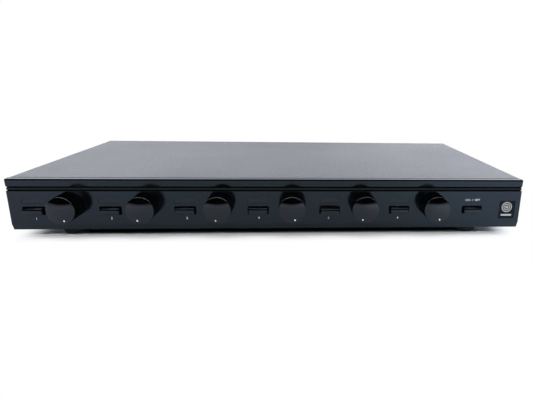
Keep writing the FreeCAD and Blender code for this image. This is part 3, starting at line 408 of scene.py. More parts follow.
# What grained takes for each finish. The names are the record's material slots and a few more.
FINISHES = {
    "cover_paint": dict(
        colour=(0.071, 0.074, 0.084), vary=0.34, roughness=0.40, rough_vary=0.03, grain=0.0022,
        depth=0.00075, ior=1.55, stretch=(1, 0.5, 1), cloud=0.10, cloud_weight=0.15),
    # The fascia's moulding, with painted shade in the gaps at the groove's bead and on the round
    # top of its strip.
    "fascia_plastic": dict(
        colour=(0.0007, 0.0010, 0.0015), vary=0.25, roughness=0.14, rough_vary=0.03, grain=0.0007,
        depth=0.000006, cloud=0.03, tint=COOL, matt_slot=GROOVE_FLOOR,
        painted_shade_gaps=(BEHIND_BEAD, UNDER_BEAD, TOP_ROUND)),
    "label_film": dict(
        colour=(0.0035, 0.004, 0.005), vary=0.2, roughness=0.27, rough_vary=0.03, grain=0.0010,
        depth=0.000004, tint=COOL),
    "badge_metal": dict(
        colour=(0.0016, 0.0017, 0.0020), vary=0.2, roughness=0.30, rough_vary=0.03, grain=0.0006,
        depth=0.000004, ior=1.26, stretch=(1, 1, 12)),
    "emblem_silver": dict(
        colour=(0.60, 0.53, 0.46), vary=0.15, roughness=0.34, rough_vary=0.08, grain=0.0004,
        depth=0.00001, metallic=1.0, stretch=(12, 1, 1)),
    "tray_paint": dict(
        colour=(0.030, 0.032, 0.036), vary=0.25, roughness=0.42, rough_vary=0.05, grain=0.0014,
        depth=0.00005, cloud_weight=0.2),
    "board_laminate": dict(
        colour=(0.02, 0.12, 0.05), vary=0.25, roughness=0.35, rough_vary=0.08, grain=0.003,
        depth=0.00003),
    "plated_brass": dict(
        colour=(0.62, 0.60, 0.52), vary=0.12, roughness=0.30, rough_vary=0.08, grain=0.0008,
        depth=0.00001, metallic=1.0),
    "zinc_screw": dict(
        colour=(0.58, 0.59, 0.60), vary=0.15, roughness=0.32, rough_vary=0.08, grain=0.0007,
        depth=0.00001, metallic=1.0),
    "black_screw": dict(
        colour=(0.035, 0.035, 0.038), vary=0.3, roughness=0.33, rough_vary=0.08, grain=0.0006,
        depth=0.00001, metallic=0.6),
    "foot_rubber": dict(
        colour=(0.014, 0.014, 0.015), vary=0.3, roughness=0.75, rough_vary=0.08, grain=0.0008,
        depth=0.00004),
    "switch_housing": dict(
        colour=(0.04, 0.04, 0.043), vary=0.2, roughness=0.5, rough_vary=0.08, grain=0.001,
        depth=0.00002),
    "shaft_aluminium": dict(
        colour=(0.75, 0.75, 0.76), vary=0.1, roughness=0.3, rough_vary=0.08, grain=0.0005,
        depth=0.00001, metallic=1.0, stretch=(1, 12, 1)),
    "knob_plastic": dict(
        colour=(0.0005, 0.0005, 0.0007), vary=0.3, roughness=0.085, rough_vary=0.02, grain=0.0012,
        depth=0.000002, ior=1.54, cloud=0.008, tint=(0.97, 0.97, 1.0)),
    # A darker copy of the knob's plastic that barely reflects, for its fluted side: painted
    # shade.
    "knob_side_painted_shade": dict(
        colour=(0.0004, 0.0004, 0.0005), vary=0.3, roughness=0.22, rough_vary=0.04, grain=0.0006,
        depth=0.000008, ior=1.10),
    "knob_rim": dict(
        colour=(0.0012, 0.0012, 0.0014), vary=0.3, roughness=0.12, rough_vary=0.03, grain=0.0006,
        depth=0.000002, ior=1.56, tint=(0.90, 0.95, 1.0)),
    "dot_paint": dict(
        colour=(0.78, 0.78, 0.77), vary=0.06, roughness=0.4, rough_vary=0.05, grain=0.0003,
        depth=0.00001),
    "button_plastic": dict(
        colour=(0.0012, 0.0016, 0.0022), vary=0.25, roughness=0.15, rough_vary=0.03, grain=0.0006,
        depth=0.000006, tint=(0.86, 0.95, 1.0)),
    "plunger_plastic": dict(
        colour=(0.70, 0.68, 0.62), vary=0.1, roughness=0.5, rough_vary=0.08, grain=0.001,
        depth=0.00001),
    "core_steel": dict(
        colour=(0.16, 0.16, 0.17), vary=0.25, roughness=0.45, rough_vary=0.1, grain=0.0006,
        depth=0.00004, metallic=0.8, stretch=(1, 12, 1)),
    "winding_copper": dict(
        colour=(0.50, 0.20, 0.07), vary=0.25, roughness=0.3, rough_vary=0.08, grain=0.0006,
        depth=0.0001, metallic=0.9, stretch=(1, 1, 8)),
    "resistor_ceramic": dict(
        colour=(0.74, 0.72, 0.66), vary=0.1, roughness=0.7, rough_vary=0.1, grain=0.001,
        depth=0.00005),
    "terminal_plastic": dict(
        colour=(0.025, 0.13, 0.055), vary=0.15, roughness=0.42, rough_vary=0.06, grain=0.0008,
        depth=0.00002),
    "ribbon_plastic": dict(
        colour=(0.42, 0.43, 0.45), vary=0.1, roughness=0.45, rough_vary=0.06, grain=0.0012,
        depth=0.00006, stretch=(1, 0.1, 0.1)),
    "print_ink": dict(
        colour=(0.62, 0.63, 0.64), vary=0.12, roughness=0.5, rough_vary=0.06, grain=0.0003,
        depth=0.000005),
}

materials = {name: grained(name, **values) for name, values in FINISHES.items()}


def dress(piece, finish):
    piece.data.materials.clear()
    piece.data.materials.append(materials[finish])


def add_piece(name, mesh, finish, body, replaced=()):
    """A new piece with its finish, on its body, in place of CAD nodes if any are named."""
    piece = link(name, mesh)
    dress(piece, finish)
    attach(piece, body)
    if replaced:
        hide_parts(*replaced)
    return piece


def dress_cad_nodes():
    for row in frame["record"]["subparts"]:
        piece = nodes[row["node"]]
        dress(piece, row["material_slot"])
        smooth(piece.data, angle=30)


# ---------------------------------------------------------------- knobs

KNOB_RADIUS = 11.2 * MM
KNOB_REACH = 18.0 * MM
RIM_ROUND = 0.42 * MM
FACE_RADIUS = KNOB_RADIUS - RIM_ROUND
FACE_SLOPE = 0.648    # that the dome of the face would come to, far out
FACE_EASE = 2.0    # in face radii, how slowly it comes to that slope
FLUTE_COUNT = 60
FLUTE_DEPTH = 0.24 * MM
FLUTE_FORM = (0.0, 0.0, 0.55, 0.9, 1.0, 0.9, 0.55, 0.0)
DOT_TURNS = (-15, 15, 9, -15, 15, -15)    # degrees of each dot from straight down


def dome_height(radius):
    """How far the knob's face stands out from the fascia at a distance from the axis."""
    u = radius / FACE_RADIUS
    eased = u - FACE_EASE * (1 - math.exp(-u / FACE_EASE))
    return KNOB_REACH - FACE_SLOPE * FACE_RADIUS * eased


def knob_mesh():
    """Along Z, with z = 0 at the fascia and the face towards +Z."""
    face_steps, rim_steps = 24, 8
    radii = [FACE_RADIUS * k / face_steps for k in range(face_steps + 1)]
    profile = [(radius, dome_height(radius)) for radius in radii]
    tilt = math.atan(FACE_SLOPE * (1 - math.exp(-1 / FACE_EASE)))
    edge = dome_height(FACE_RADIUS)
    bend = RIM_ROUND / (1 - math.sin(tilt))
    for k in range(1, rim_steps + 1):
        turn = tilt + (math.pi / 2 - tilt) * k / rim_steps
        profile.append((FACE_RADIUS + bend * (math.sin(turn) - math.sin(tilt)),
                        edge - bend * (math.cos(tilt) - math.cos(turn))))
    back, chamfer = 0.8 * MM, 0.25 * MM
    skirt, hub, bore = 9.2 * MM, 5.2 * MM, 3.02 * MM
    hollow_end, bore_end = back + 8 * MM, 13 * MM
    profile += [
        (KNOB_RADIUS, back + 12 * MM),
        (KNOB_RADIUS, back + 6 * MM),
        (KNOB_RADIUS, back + chamfer),
        (KNOB_RADIUS - chamfer, back),
        (skirt, back),
        (skirt, hollow_end),
        (hub, hollow_end),
        (hub, back),
        (bore, back),
        (bore, bore_end),
        (0, bore_end),
    ]
    deepest = KNOB_RADIUS - FLUTE_DEPTH

    def fluted(index, radius):
        limit = KNOB_RADIUS - FLUTE_DEPTH * FLUTE_FORM[index % len(FLUTE_FORM)]
        return min(radius, limit) if radius > deepest else radius

    return turned("knob_form", profile, FLUTE_COUNT * len(FLUTE_FORM), fluted, angle=28)


def dot_mesh():
    """A painted dot that follows the domed face, straight below the axis."""
    distance, radius, lift = 8.7 * MM, 0.64 * MM, 0.03 * MM
    rings, around = 5, 28
    points, faces = [], []
    for layer in (0, 1):
        for ring in range(rings + 1):
            r = radius * ring / rings
            rise = layer * lift * math.sqrt(max(0.0, 1 - (ring / rings) ** 4))
            for i in range(around if ring else 1):
                turn = 2 * math.pi * i / around
                x, y = r * math.cos(turn), -distance + r * math.sin(turn)
                points.append((x, y, dome_height(math.hypot(x, y)) + rise + (layer - 1) * lift))
    per_layer = 1 + rings * around
    for layer in (0, 1):
        start = layer * per_layer
        for ring in range(rings):
            for i in range(around):
                j = (i + 1) % around
                outer = start + 1 + ring * around
                if ring == 0:
                    faces.append((start, outer + i, outer + j))
                else:
                    inner = outer - around
                    faces.append((inner + i, inner + j, outer + j, outer + i))
    low, high = 1 + (rings - 1) * around, per_layer + 1 + (rings - 1) * around
    for i in range(around):
        j = (i + 1) % around
        faces.append((low + i, low + j, high + j, high + i))
    return mesh_from("dot_form", points, faces)


def finish_knob(piece, axis):
    """The rim of a knob has a plastic of its own, and its fluted side a darker copy of the knob's
    plastic that barely reflects, as painted shade.
    """
    for other in ("knob_side_painted_shade", "knob_rim"):
        piece.data.materials.append(materials[other])
    side, rim = 1, 2
    side_from = KNOB_RADIUS - 0.2 * MM
    for face in piece.data.polygons:
        off_axis = math.hypot(face.center.x - axis.x, face.center.z - axis.z)
        if off_axis > side_from:
            face.material_index = side
        elif off_axis > FACE_RADIUS:
            face.material_index = rim


def make_knobs():
    knob, dot = knob_mesh(), dot_mesh()
    for zone, turn in zip(ZONES, DOT_TURNS):
        axis = middle(f"knob_{zone}")
        body = f"volume_control_{zone}"
        place = (Matrix.Translation((axis.x, FACE_Y, axis.z))
                 @ Matrix.Rotation(math.radians(turn), 4, "Y")
                 @ Matrix.Rotation(math.pi / 2, 4, "X"))
        cap, spot = knob.copy(), dot.copy()
        for mesh in (cap, spot):
            mesh.transform(place)
        piece = add_piece(f"knob_cap_{zone}", cap, "knob_plastic", body,
                          replaced=(f"knob_{zone}",))
        finish_knob(piece, axis)
        add_piece(f"knob_dot_{zone}", spot, "dot_paint", body)


# ---------------------------------------------------------------- buttons

def make_buttons():
    """Caps whose front leans back a little along its upper edge."""
    lean_height, lean, tail, edge = 1.9 * MM, 0.40 * MM, 7.8 * MM, 0.17 * MM
    socket, socket_depth = 1.52 * MM, 3.52 * MM
    for number in BUTTONS:
        low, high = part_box(f"button_{number}")
        half_width, half_height = (high.x - low.x) / 2, (high.z - low.z) / 2
        outline = [
            (tail, -half_height),
            (tail, half_height),
            (lean, half_height),
            (0, half_height - lean_height),
            (0, -half_height),
        ]
        form = bevelled(prism("button_form", outline, -half_width, half_width), edge)
        hole = block("socket_form", (-socket, socket), (tail - socket_depth, tail + MM),
                     (-socket, socket))
        mesh = carved(f"button_cap_{number}", form, hole)
        mesh.transform(Matrix.Translation(((low.x + high.x) / 2, low.y, (low.z + high.z) / 2)))
        add_piece(f"button_cap_{number}", mesh, "button_plastic", f"push_button_{number}",
                  replaced=(f"button_{number}",))


# ---------------------------------------------------------------- screws and feet

FOOT_SEAT = 5 * MM    # height of the screw's seat inside a foot


def slab(half_length, half_width, z):
    return [(-half_length, -half_width, z), (half_length, -half_width, z),
            (half_length, half_width, z), (-half_length, half_width, z)]


def screw_mesh(length):
    """A pan-head screw with a cross recess, its seat at z = 0 and its head upwards."""
    shank, head, rise, head_edge = 1.5 * MM, 2.8 * MM, 1.8 * MM, 0.5 * MM
    tip, tip_rise, brim, brim_rise = 0.5 * MM, 0.6 * MM, 0.15 * MM, 0.12 * MM
    profile = [
        (0, -length),
        (shank - tip, -length),
        (shank, -length + tip_rise),
        (shank, 0),
        (head - brim, 0),
        (head, brim_rise),
    ]
    steps, fullness = 8, 0.8
    for k in range(steps):
        turn = k / steps * math.pi / 2
        profile.append((head * math.cos(turn) ** fullness,
                        head_edge + (rise - head_edge) * math.sin(turn)))
    profile.append((0, rise))
    form = turned("screw_form", profile, segments=40)
    cross_turn = 0.35
    arms = []
    for turn in (0, math.pi / 2):
        arm = lofted("cross_arm", [
            slab(half_length=1.2 * MM, half_width=0.3 * MM, z=0.75 * MM),
            slab(half_length=1.75 * MM, half_width=0.42 * MM, z=2 * MM),
        ])
        arm.transform(Matrix.Rotation(turn + cross_turn, 4, "Z"))
        arms.append(arm)
    return carved("screw_form", form, *arms)


def foot_mesh(height):
    """A rubber foot from the floor up to its height, with a round rim and a screw recess."""
    base_radius, top_radius, edge = 11.5 * MM, 12.5 * MM, 1.0 * MM
    recess, mouth, bore = 4.2 * MM, 0.4 * MM, 1.52 * MM
    collar, collar_slope, collar_edge = 1.1 * MM, 1.4 * MM, 0.3 * MM
    profile = [
        (recess, FOOT_SEAT),
        (recess, mouth),
        (recess + mouth, 0),
        (base_radius - edge, 0),
    ]
    steps = 5
    for k in range(1, steps + 1):
        turn = k / steps * math.pi / 2
        profile.append((base_radius - edge * (1 - math.sin(turn)), edge * (1 - math.cos(turn))))
    profile += [
        (top_radius - collar_edge, height - collar_slope),
        (top_radius, height - collar),
        (top_radius, height),
        (bore, height),
        (bore, FOOT_SEAT),
    ]
    return turned("foot_form", profile, segments=72)


def make_cover_screws():
    form = screw_mesh(length=6 * MM)
    side_z, side_places = BASE_Z + 9 * MM, (FACE_Y + 60 * MM, FACE_Y + 160 * MM)
    rear_z, rear_places = COVER_HIGH.z - 5 * MM, (-190 * MM, 0, 190 * MM)
    seats = []
    for side, x in ((-1, COVER_LOW.x), (1, COVER_HIGH.x)):
        for y in side_places:
            seats.append((form, Matrix.Translation((x, y, side_z))
                          @ Matrix.Rotation(side * math.pi / 2, 4, "Y")))
    for x in rear_places:
        seats.append((form, Matrix.Translation((x, COVER_HIGH.y, rear_z))
                      @ Matrix.Rotation(-math.pi / 2, 4, "X")))
    add_piece("cover_screw_set", joined("cover_screw_set", seats), "black_screw", "cabinet",
              replaced=("cover_screws",))


def make_feet():
    form = screw_mesh(length=8 * MM)
    seats = []
    for corner in ("front_left", "front_right", "rear_left", "rear_right"):
        centre = middle(f"foot_{corner}")
        pad = foot_mesh(BASE_Z)
        pad.transform(Matrix.Translation((centre.x, centre.y, 0)))
        add_piece(f"foot_pad_{corner}", pad, "foot_rubber", "cabinet",
                  replaced=(f"foot_{corner}",))
        seats.append((form, Matrix.Translation((centre.x, centre.y, FOOT_SEAT))
                      @ Matrix.Rotation(math.pi, 4, "X")))
    add_piece("foot_screw_set", joined("foot_screw_set", seats), "zinc_screw", "cabinet",
              replaced=("foot_screws",))


# ---------------------------------------------------------------- terminals

POLES = 4
PITCH = 5.08 * MM
BLOCK_HALF = 10.46 * MM
SCREW_FROM_REAR = 4.2 * MM


def terminal_places():
    """The middle of each zone's terminal block along X."""
    low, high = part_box("speaker_terminals")
    first, last = low.x + BLOCK_HALF, high.x - BLOCK_HALF
    steps = len(ZONES) - 1
    return [first + (last - first) * k / steps for k in range(steps + 1)]


def pole_places(x):
    """The middle of each pole of a block whose own middle is at x."""
    return [x + (pole - (POLES - 1) / 2) * PITCH for pole in range(POLES)]


def square(half, y, z):
    return [(-half, y, z - half), (half, y, z - half), (half, y, z + half), (-half, y, z + half)]


def terminal_mesh(low, high):
    """A four-pole block: wire funnels in its rear face, wells on top, grooves between poles."""
    deep, tall = high.y - low.y, high.z - low.z
    front_slope, rear_slope, edge = 1.2 * MM, 0.7 * MM, 0.2 * MM
    outline = [
        (0, 0),
        (0, tall - front_slope),
        (front_slope, tall),
        (deep - rear_slope, tall),
        (deep, tall - rear_slope),
        (deep, 0),
    ]
    form = bevelled(prism("terminal_form", outline, -BLOCK_HALF, BLOCK_HALF), edge, segments=2)
    past = 0.1 * MM    # how far a tool reaches out of the block
    well_radius, well_mouth, well_depth, well_flare = 1.7 * MM, 2.1 * MM, 3.5 * MM, 0.3 * MM
    well = turned("well", [
        (0, tall - well_depth),
        (well_radius, tall - well_depth),
        (well_radius, tall - well_flare),
        (well_mouth, tall + past),
        (0, tall + past),
    ], segments=28)
    wire_half, wire_mouth, wire_depth, wire_flare = 1.45 * MM, 2.05 * MM, 8 * MM, 1.3 * MM
    wire_z = 4 * MM
    funnel = lofted("funnel", [
        square(wire_half, deep - wire_depth, wire_z),
        square(wire_half, deep - wire_flare, wire_z),
        square(wire_mouth, deep + past, wire_z),
    ])
    tools = []
    for x in pole_places(0):
        tools.append((well, Matrix.Translation((x, deep - SCREW_FROM_REAR, 0))))
        tools.append((funnel, Matrix.Translation((x, 0, 0))))
    half_groove, groove_depth, groove_length, gap = 0.18 * MM, 0.35 * MM, 9 * MM, 0.01 * MM
    for k in (-1, 0, 1):
        span = (k * PITCH - half_groove, k * PITCH + half_groove)
        rear = block("groove", span, (deep - groove_depth, deep + MM), (-MM, tall + MM))
        top = block("groove", span, (deep - groove_length, deep - groove_depth - gap),
                    (tall - groove_depth, tall + MM))
        tools += [(rear, Matrix()), (top, Matrix())]
    return carved("terminal_form", form, joined("terminal_tools", tools))


def clamp_screw_mesh():
    """A slotted clamp screw, its top at z = 0."""
    radius, length, chamfer = 1.6 * MM, 3.0 * MM, 0.25 * MM
    slot_reach, slot_half, slot_depth, slot_turn = 2 * MM, 0.28 * MM, 0.9 * MM, 0.5
    form = turned("clamp_form", [
        (0, -length),
        (radius, -length),
        (radius, -chamfer),
        (radius - chamfer, 0),
        (0, 0),
    ], segments=28)
    slot = block("slot", (-slot_reach, slot_reach), (-slot_half, slot_half), (-slot_depth, MM))
    slot.transform(Matrix.Rotation(slot_turn, 4, "Z"))
    return carved("clamp_form", form, slot)


def make_terminals():
    low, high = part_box("input_terminals")
    input_x = (low.x + high.x) / 2
    places = terminal_places()
    form = terminal_mesh(low, high)
    screw = clamp_screw_mesh()
    screw_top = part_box("terminal_screws")[1].z
    screws = []
    for middle_x in places + [input_x]:
        for x in pole_places(middle_x):
            screws.append((screw, Matrix.Translation((x, high.y - SCREW_FROM_REAR, screw_top))))
    for name, centres, node in (("speaker_terminal_set", places, "speaker_terminals"),
                                ("input_terminal_block", [input_x], "input_terminals")):
        blocks = [(form, Matrix.Translation((x, low.y, low.z))) for x in centres]
        add_piece(name, joined(name, blocks), "terminal_plastic", "cabinet", replaced=(node,))
    add_piece("clamp_screw_set", joined("clamp_screw_set", screws), "zinc_screw", "cabinet",
              replaced=("terminal_screws",))


# ---------------------------------------------------------------- print and badge

INK = 0.03 * MM
NUMBER_SHIFTS = (0.9, 0.2, 1.0, 0.4, -0.6, -0.8)    # mm of each number from its button


def make_print():
    """Zone numbers under the buttons, and ON/OFF over the one at the right."""
    number_z, number_height = TOP_Z - 33.65 * MM, 2.0 * MM
    words_z, words_height, words_stretch = TOP_Z - 18.0 * MM, 1.7 * MM, 1.15
    for zone, shift in zip(ZONES, NUMBER_SHIFTS):
        x = middle(f"button_{zone}").x + shift * MM
        mesh = lettering(f"number_{zone}", str(zone), number_height, INK)
        mesh.transform(Matrix.Translation((x, FACE_Y, number_z)))
        add_piece(f"zone_number_{zone}", mesh, "print_ink", "cabinet")
    mesh = lettering("on_off", "ON  /  OFF", words_height, INK)
    mesh.transform(Matrix.Translation((middle("button_7").x, FACE_Y, words_z))
                   @ Matrix.Diagonal((words_stretch, 1, 1, 1)))
    add_piece("on_off_print", mesh, "print_ink", "cabinet")


def make_rear_print():
    """Above each terminal block: its zone number or an arrow, a bracket, and its poles' marks."""
    blocks_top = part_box("speaker_terminals")[1].z
    about = Matrix.Rotation(math.pi, 4, "Z")
    forms = []

    def put(mesh, x, rise):
        forms.append((mesh, Matrix.Translation((x, REAR_Y, blocks_top + rise)) @ about))

    mark_rise, bracket_rise, number_rise, arrow_rise = 2.4 * MM, 4.6 * MM, 7.6 * MM, 7.4 * MM
    number_height, plus_height, minus_height = 3.0 * MM, 1.5 * MM, 0.3 * MM
    half, half_line, tick = 9.2 * MM, 0.12 * MM, 1.2 * MM
    arrow = [(-1.8 * MM, 0.9 * MM), (0, -1.4 * MM), (1.8 * MM, 0.9 * MM)]
    blocks = [(str(zone), x) for zone, x in zip(ZONES, terminal_places())]
    for number, middle_x in blocks + [("", middle("input_terminals").x)]:
        for pole, x in enumerate(pole_places(middle_x)):
            outer = pole in (0, POLES - 1)
            mark, height = ("+", plus_height) if outer else ("-", minus_height)
            put(lettering("mark", mark, height, INK), x, mark_rise)
        put(block("bar", (-half, half), (-INK, 0), (-half_line, half_line)), middle_x,
            bracket_rise)
        for side in (-1, 1):
            put(block("tick", (-half_line, half_line), (-INK, 0), (-tick, 0)),
                middle_x + side * (half - half_line), bracket_rise)
        if number:
            put(lettering("label", number, number_height, INK), middle_x, number_rise)
        else:
            put(lofted("arrow", [[(a, y, b) for a, b in arrow] for y in (-INK, 0)]), middle_x,
                arrow_rise)
    add_piece("rear_print", joined("rear_print", forms), "print_ink", "cabinet")


def ring_mesh(outer, inner):
    rise, edge = 0.22 * MM, 0.08 * MM
    shoulder = rise * 0.6
    profile = [
        (inner, 0),
        (outer, 0),
        (outer, shoulder),
        (outer - edge, rise),
        (inner + edge, rise),
        (inner, shoulder),
    ]
    return turned("ring_form", profile, segments=72)


def make_badge():
    """Plain rings like a loudspeaker's, over a bar."""
    low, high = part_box("badge_plate")
    centre = (low + high) / 2
    rings_rise, bar_drop = 2.2 * MM, 5.0 * MM
    on_rings = (Matrix.Translation((centre.x, low.y, centre.z + rings_rise))
                @ Matrix.Rotation(math.pi / 2, 4, "X"))
    on_bar = Matrix.Translation((centre.x, low.y, centre.z - bar_drop))
    cap_radius, cap_top = 1.25 * MM, 0.9 * MM
    cap_edge, cap_slope, cap_rise = 0.1 * MM, 0.2 * MM, 0.25 * MM
    cap = turned("cap_form", [
        (0, 0),
        (cap_radius, 0),
        (cap_radius, cap_edge),
        (cap_top, cap_slope),
        (0, cap_rise),
    ], segments=48)
    bar = rounded_plate("bar_form", width=9.6 * MM, height=1.5 * MM, corner=0.3 * MM,
                        thickness=0.2 * MM)
    mesh = joined("badge_emblem", [
        (ring_mesh(outer=4.6 * MM, inner=3.8 * MM), on_rings),
        (ring_mesh(outer=2.9 * MM, inner=2.2 * MM), on_rings),
        (cap, on_rings),
        (bar, on_bar),
    ])
    add_piece("badge_emblem", mesh, "emblem_silver", "cabinet")


# ---------------------------------------------------------------- camera, floor and light

def make_camera():
    """The photo's viewing angle; focal length and centre are in pixels of its frame."""
    width, height = 533.0, 400.0
    place = (0.015647, -0.472086, 0.137153)
    focal, centre_x, centre_y = 449.37, 327.47, 204.74
    pitch, yaw, roll = math.radians(16.046), math.radians(-4.492), math.radians(1.140)
    data = bpy.data.cameras.new("camera")
    data.sensor_fit = "HORIZONTAL"
    data.sensor_width = 36.0
    data.lens = focal / width * data.sensor_width
    data.shift_x = (width / 2 - centre_x) / width
    data.shift_y = (centre_y - height / 2) / width
    data.clip_start = 0.01
    data.clip_end = 50
    camera = link("camera", data)
    to_view = Matrix(((1, 0, 0), (0, 0, -1), (0, 1, 0)))
    view = (Matrix.Rotation(roll, 3, "Z") @ Matrix.Rotation(pitch, 3, "X")
            @ Matrix.Rotation(yaw, 3, "Y") @ to_view)
    axes = Matrix((view[0], -view[1], -view[2])).transposed()
    camera.matrix_world = Matrix.Translation(place) @ axes.to_4x4()
    bpy.context.scene.camera = camera


WHITE = (1.0, 1.0, 1.0)

# The floor's colours for all rays but the camera's, which see it white: in the middle, at the
# left and at the right, darker in the middle and paler and bluer at the ends as painted light
# and shade that the object reflects. The last one is the camera's deep under the case, a
# painted shadow.
FLOOR_MIDDLE = (0.47, 0.52, 0.57)
FLOOR_LEFT = (0.58, 0.60, 0.74)
FLOOR_RIGHT = (0.72, 0.82, 1.00)
FLOOR_PAINTED_SHADOW = (0.02, 0.022, 0.025)

# Where one tone goes over into the next, from a start to an end in metres: two places along X,
# and the distance from the middle at which reflections begin to see an even, glowing floor.
TO_LEFT = (-0.28, -0.10)
TO_RIGHT = (0.06, 0.26)
TO_FAR = (0.45, 0.9)

# The same, as distances out from the CAD box's sides, less than nought under it: where the
# painted shadow deep under the case ends, and where the object's shadow ends in plain white.
END_OF_PAINTED_SHADOW = (-0.040, -0.031)
SHADOW_AHEAD = (-0.031, -0.009)
SHADOW_BEHIND = (-0.020, 0.025)
SHADOW_ASIDE = (-0.020, 0.010)


def make_floor():
    """A white floor that keeps its shadows near the object and is plain white further out."""
    half_size = 9.0
    mesh = bpy.data.meshes.new("floor")
    mesh.from_pydata(slab(half_size, half_size, 0), [], [(0, 1, 2, 3)])
    floor = link("floor", mesh)
    shader = Shader("floor_white", 0.9)
    shader.surface.inputs["Specular IOR Level"].default_value = 0.0
    seen = shader.add("LightPath")
    by_camera = seen.outputs["Is Camera Ray"]
    parts = shader.add("SeparateXYZ")
    shader.join(shader.place, parts.inputs[0])
    across, along = parts.outputs["X"], parts.outputs["Y"]
    ahead = shader.math("SUBTRACT", cad_box[0].y, along)
    behind = shader.math("SUBTRACT", along, cad_box[1].y)
    aside = shader.math("SUBTRACT", shader.math("ABSOLUTE", across), cad_box[1].x)
    beside = shader.math("MAXIMUM", aside, shader.math("MAXIMUM", ahead, behind))

    # Painted light and shade for what the object reflects: the floor darker in the middle, paler
    # and bluer at the ends.
    plain = shader.blend(shader.spread(across, 0.0, 1.0, *TO_RIGHT, "SMOOTHSTEP"),
                         FLOOR_MIDDLE, FLOOR_RIGHT)
    plain = shader.blend(shader.spread(across, 1.0, 0.0, *TO_LEFT, "SMOOTHSTEP"),
                         plain, FLOOR_LEFT)
    white = shader.blend(shader.noise(0.3), WHITE, scaled(WHITE, 0.995))
    # Painted shadow: deep under the case the camera sees the floor near black.
    white = shader.blend(shader.spread(beside, 1.0, 0.0, *END_OF_PAINTED_SHADOW), white, FLOOR_PAINTED_SHADOW)
    shader.join(shader.blend(by_camera, plain, white), shader.surface.inputs["Base Color"])

    glow = shader.add("Emission", Strength=1.0)
    shader.join(shader.blend(by_camera, plain, WHITE), glow.inputs["Color"])
    clear = shader.spread(ahead, 0.0, 1.0, *SHADOW_AHEAD, "SMOOTHSTEP")
    for distance, ramp in ((behind, SHADOW_BEHIND), (aside, SHADOW_ASIDE)):
        clear = shader.math("MAXIMUM", clear,
                            shader.spread(distance, 0.0, 1.0, *ramp, "SMOOTHSTEP"))
    length = shader.add("VectorMath")
    length.operation = "LENGTH"
    shader.join(shader.place, length.inputs[0])
    far = shader.spread(length.outputs["Value"], 0.0, 1.0, *TO_FAR, "SMOOTHSTEP")
    sharp = shader.math("ADD", seen.outputs["Is Glossy Ray"], seen.outputs["Is Transmission Ray"])
    sharp = shader.math("MULTIPLY", shader.math("MINIMUM", sharp, 1.0), far)
    mix = shader.add("MixShader")
    shader.join(shader.math("ADD", sharp, shader.math("MULTIPLY", by_camera, clear)),
                mix.inputs[0])
    shader.join(shader.surface.outputs[0], mix.inputs[1])
    shader.join(glow.outputs[0], mix.inputs[2])
    shader.join(mix.outputs[0], shader.output.inputs["Surface"])
    mesh.materials.append(shader.material)


WORLD_TINT = (0.958, 0.985, 1.07)
WORLD_ROUND = 0.25    # light from all round
WORLD_BEHIND = 1.48    # more of it from behind the object
WORLD_LEFT = 0.30    # parts by which that is stronger at the left
WORLD_RIGHT = 0.65    # and at the right
WORLD_ABOVE = 0.2    # the part of it that is left higher up
WORLD_GLOOM = 0.25    # less light from low down ahead

# Where each of these begins and is full, as a direction's part along an axis.
TO_BEHIND = (-0.38, 0.25)    # along Y
TO_LEFT_END = (-0.08, -0.45)    # along X
TO_RIGHT_END = (-0.04, 0.45)    # along X
TO_ABOVE = (0.12, 0.50)    # along Z
TO_AHEAD = (-0.45, -0.68)    # along Y
TO_OVER_GLOOM = (0.42, 0.54)    # along Z


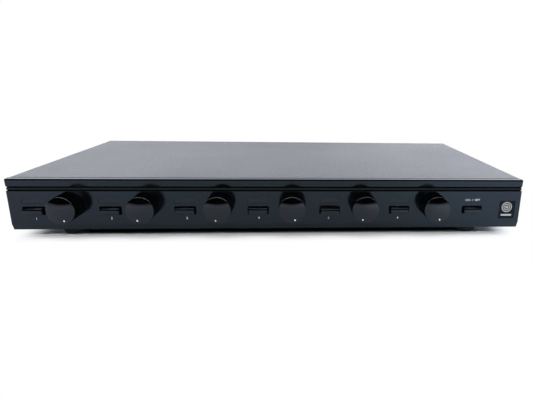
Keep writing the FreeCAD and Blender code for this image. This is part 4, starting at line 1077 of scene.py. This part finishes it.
def make_world():
    """Soft light all round, dark low down ahead, and white where the camera looks."""
    world = bpy.data.worlds.new("studio")
    bpy.context.scene.world = world
    world.use_nodes = True
    sky = Nodes(world.node_tree)
    background = sky.add("Background", Strength=1.0)
    sky.join(background.outputs[0], sky.add("OutputWorld").inputs["Surface"])
    direction = sky.add("SeparateXYZ")
    sky.join(sky.add("TexCoord").outputs["Generated"], direction.inputs[0])

    def ramp(axis, ends, low, high):
        """From low to high as the direction's part along an axis goes from end to end."""
        return sky.spread(direction.outputs[axis], low, high, *ends, "SMOOTHSTEP")

    back = ramp("Y", TO_BEHIND, 0.0, WORLD_BEHIND)
    left = ramp("X", TO_LEFT_END, 0.0, WORLD_LEFT)
    right = ramp("X", TO_RIGHT_END, 0.0, WORLD_RIGHT)
    sides = sky.math("ADD", sky.math("ADD", left, right), 1.0)
    back = sky.math("MULTIPLY", back, sides)
    back = sky.math("MULTIPLY", back, ramp("Z", TO_ABOVE, 1.0, WORLD_ABOVE))
    ahead = ramp("Y", TO_AHEAD, 0.0, 1.0)
    low_down = ramp("Z", TO_OVER_GLOOM, 1.0, 0.0)
    gloom = sky.math("MULTIPLY", sky.math("MULTIPLY", ahead, low_down), -WORLD_GLOOM)
    light = sky.math("ADD", sky.math("ADD", back, WORLD_ROUND), gloom)
    tinted = sky.blend(light, (0.0, 0.0, 0.0), WORLD_TINT, clamp=False)
    seen = sky.add("LightPath").outputs["Is Camera Ray"]
    sky.join(sky.blend(seen, tinted, WHITE), background.inputs["Color"])


LIGHT_LEVEL = 0.75
LAMP_WHITE = (0.97, 0.99, 1.0)
LAMP_BLUE = (0.72, 0.86, 1.0)

# Each lamp's name, place, target, size, power and colour.
LAMPS = (
    ("overhead", (0.0, -0.85, 1.10), (0, 0, 0), (1.4, 0.4), 7.5, LAMP_WHITE),
    ("front_box", (0.0, -1.3, 0.80), (0, 0, 0), (2.4, 0.14), 25, LAMP_WHITE),
    ("left_box", (-1.3, -0.35, 0.75), (0, 0, 0.02), (0.3, 0.5), 4.0, LAMP_WHITE),
    ("right_box", (1.3, -0.35, 0.75), (0, 0, 0.02), (0.3, 0.5), 9.0, LAMP_BLUE),
)


def make_lights():
    for name, place, target, size, power, colour in LAMPS:
        data = bpy.data.lights.new(name, "AREA")
        data.shape = "RECTANGLE"
        data.size, data.size_y = size
        data.energy = power * LIGHT_LEVEL
        data.color = colour
        lamp = link(name, data)
        lamp.location = place
        facing = Vector(target) - Vector(place)
        lamp.rotation_euler = facing.to_track_quat("-Z", "Y").to_euler()


dress_cad_nodes()
make_knobs()
make_buttons()
make_print()
make_badge()
make_cover_screws()
make_feet()
make_terminals()
make_rear_print()
make_camera()
make_floor()
make_world()
make_lights()
bpy.context.scene.view_settings.view_transform = "Standard"
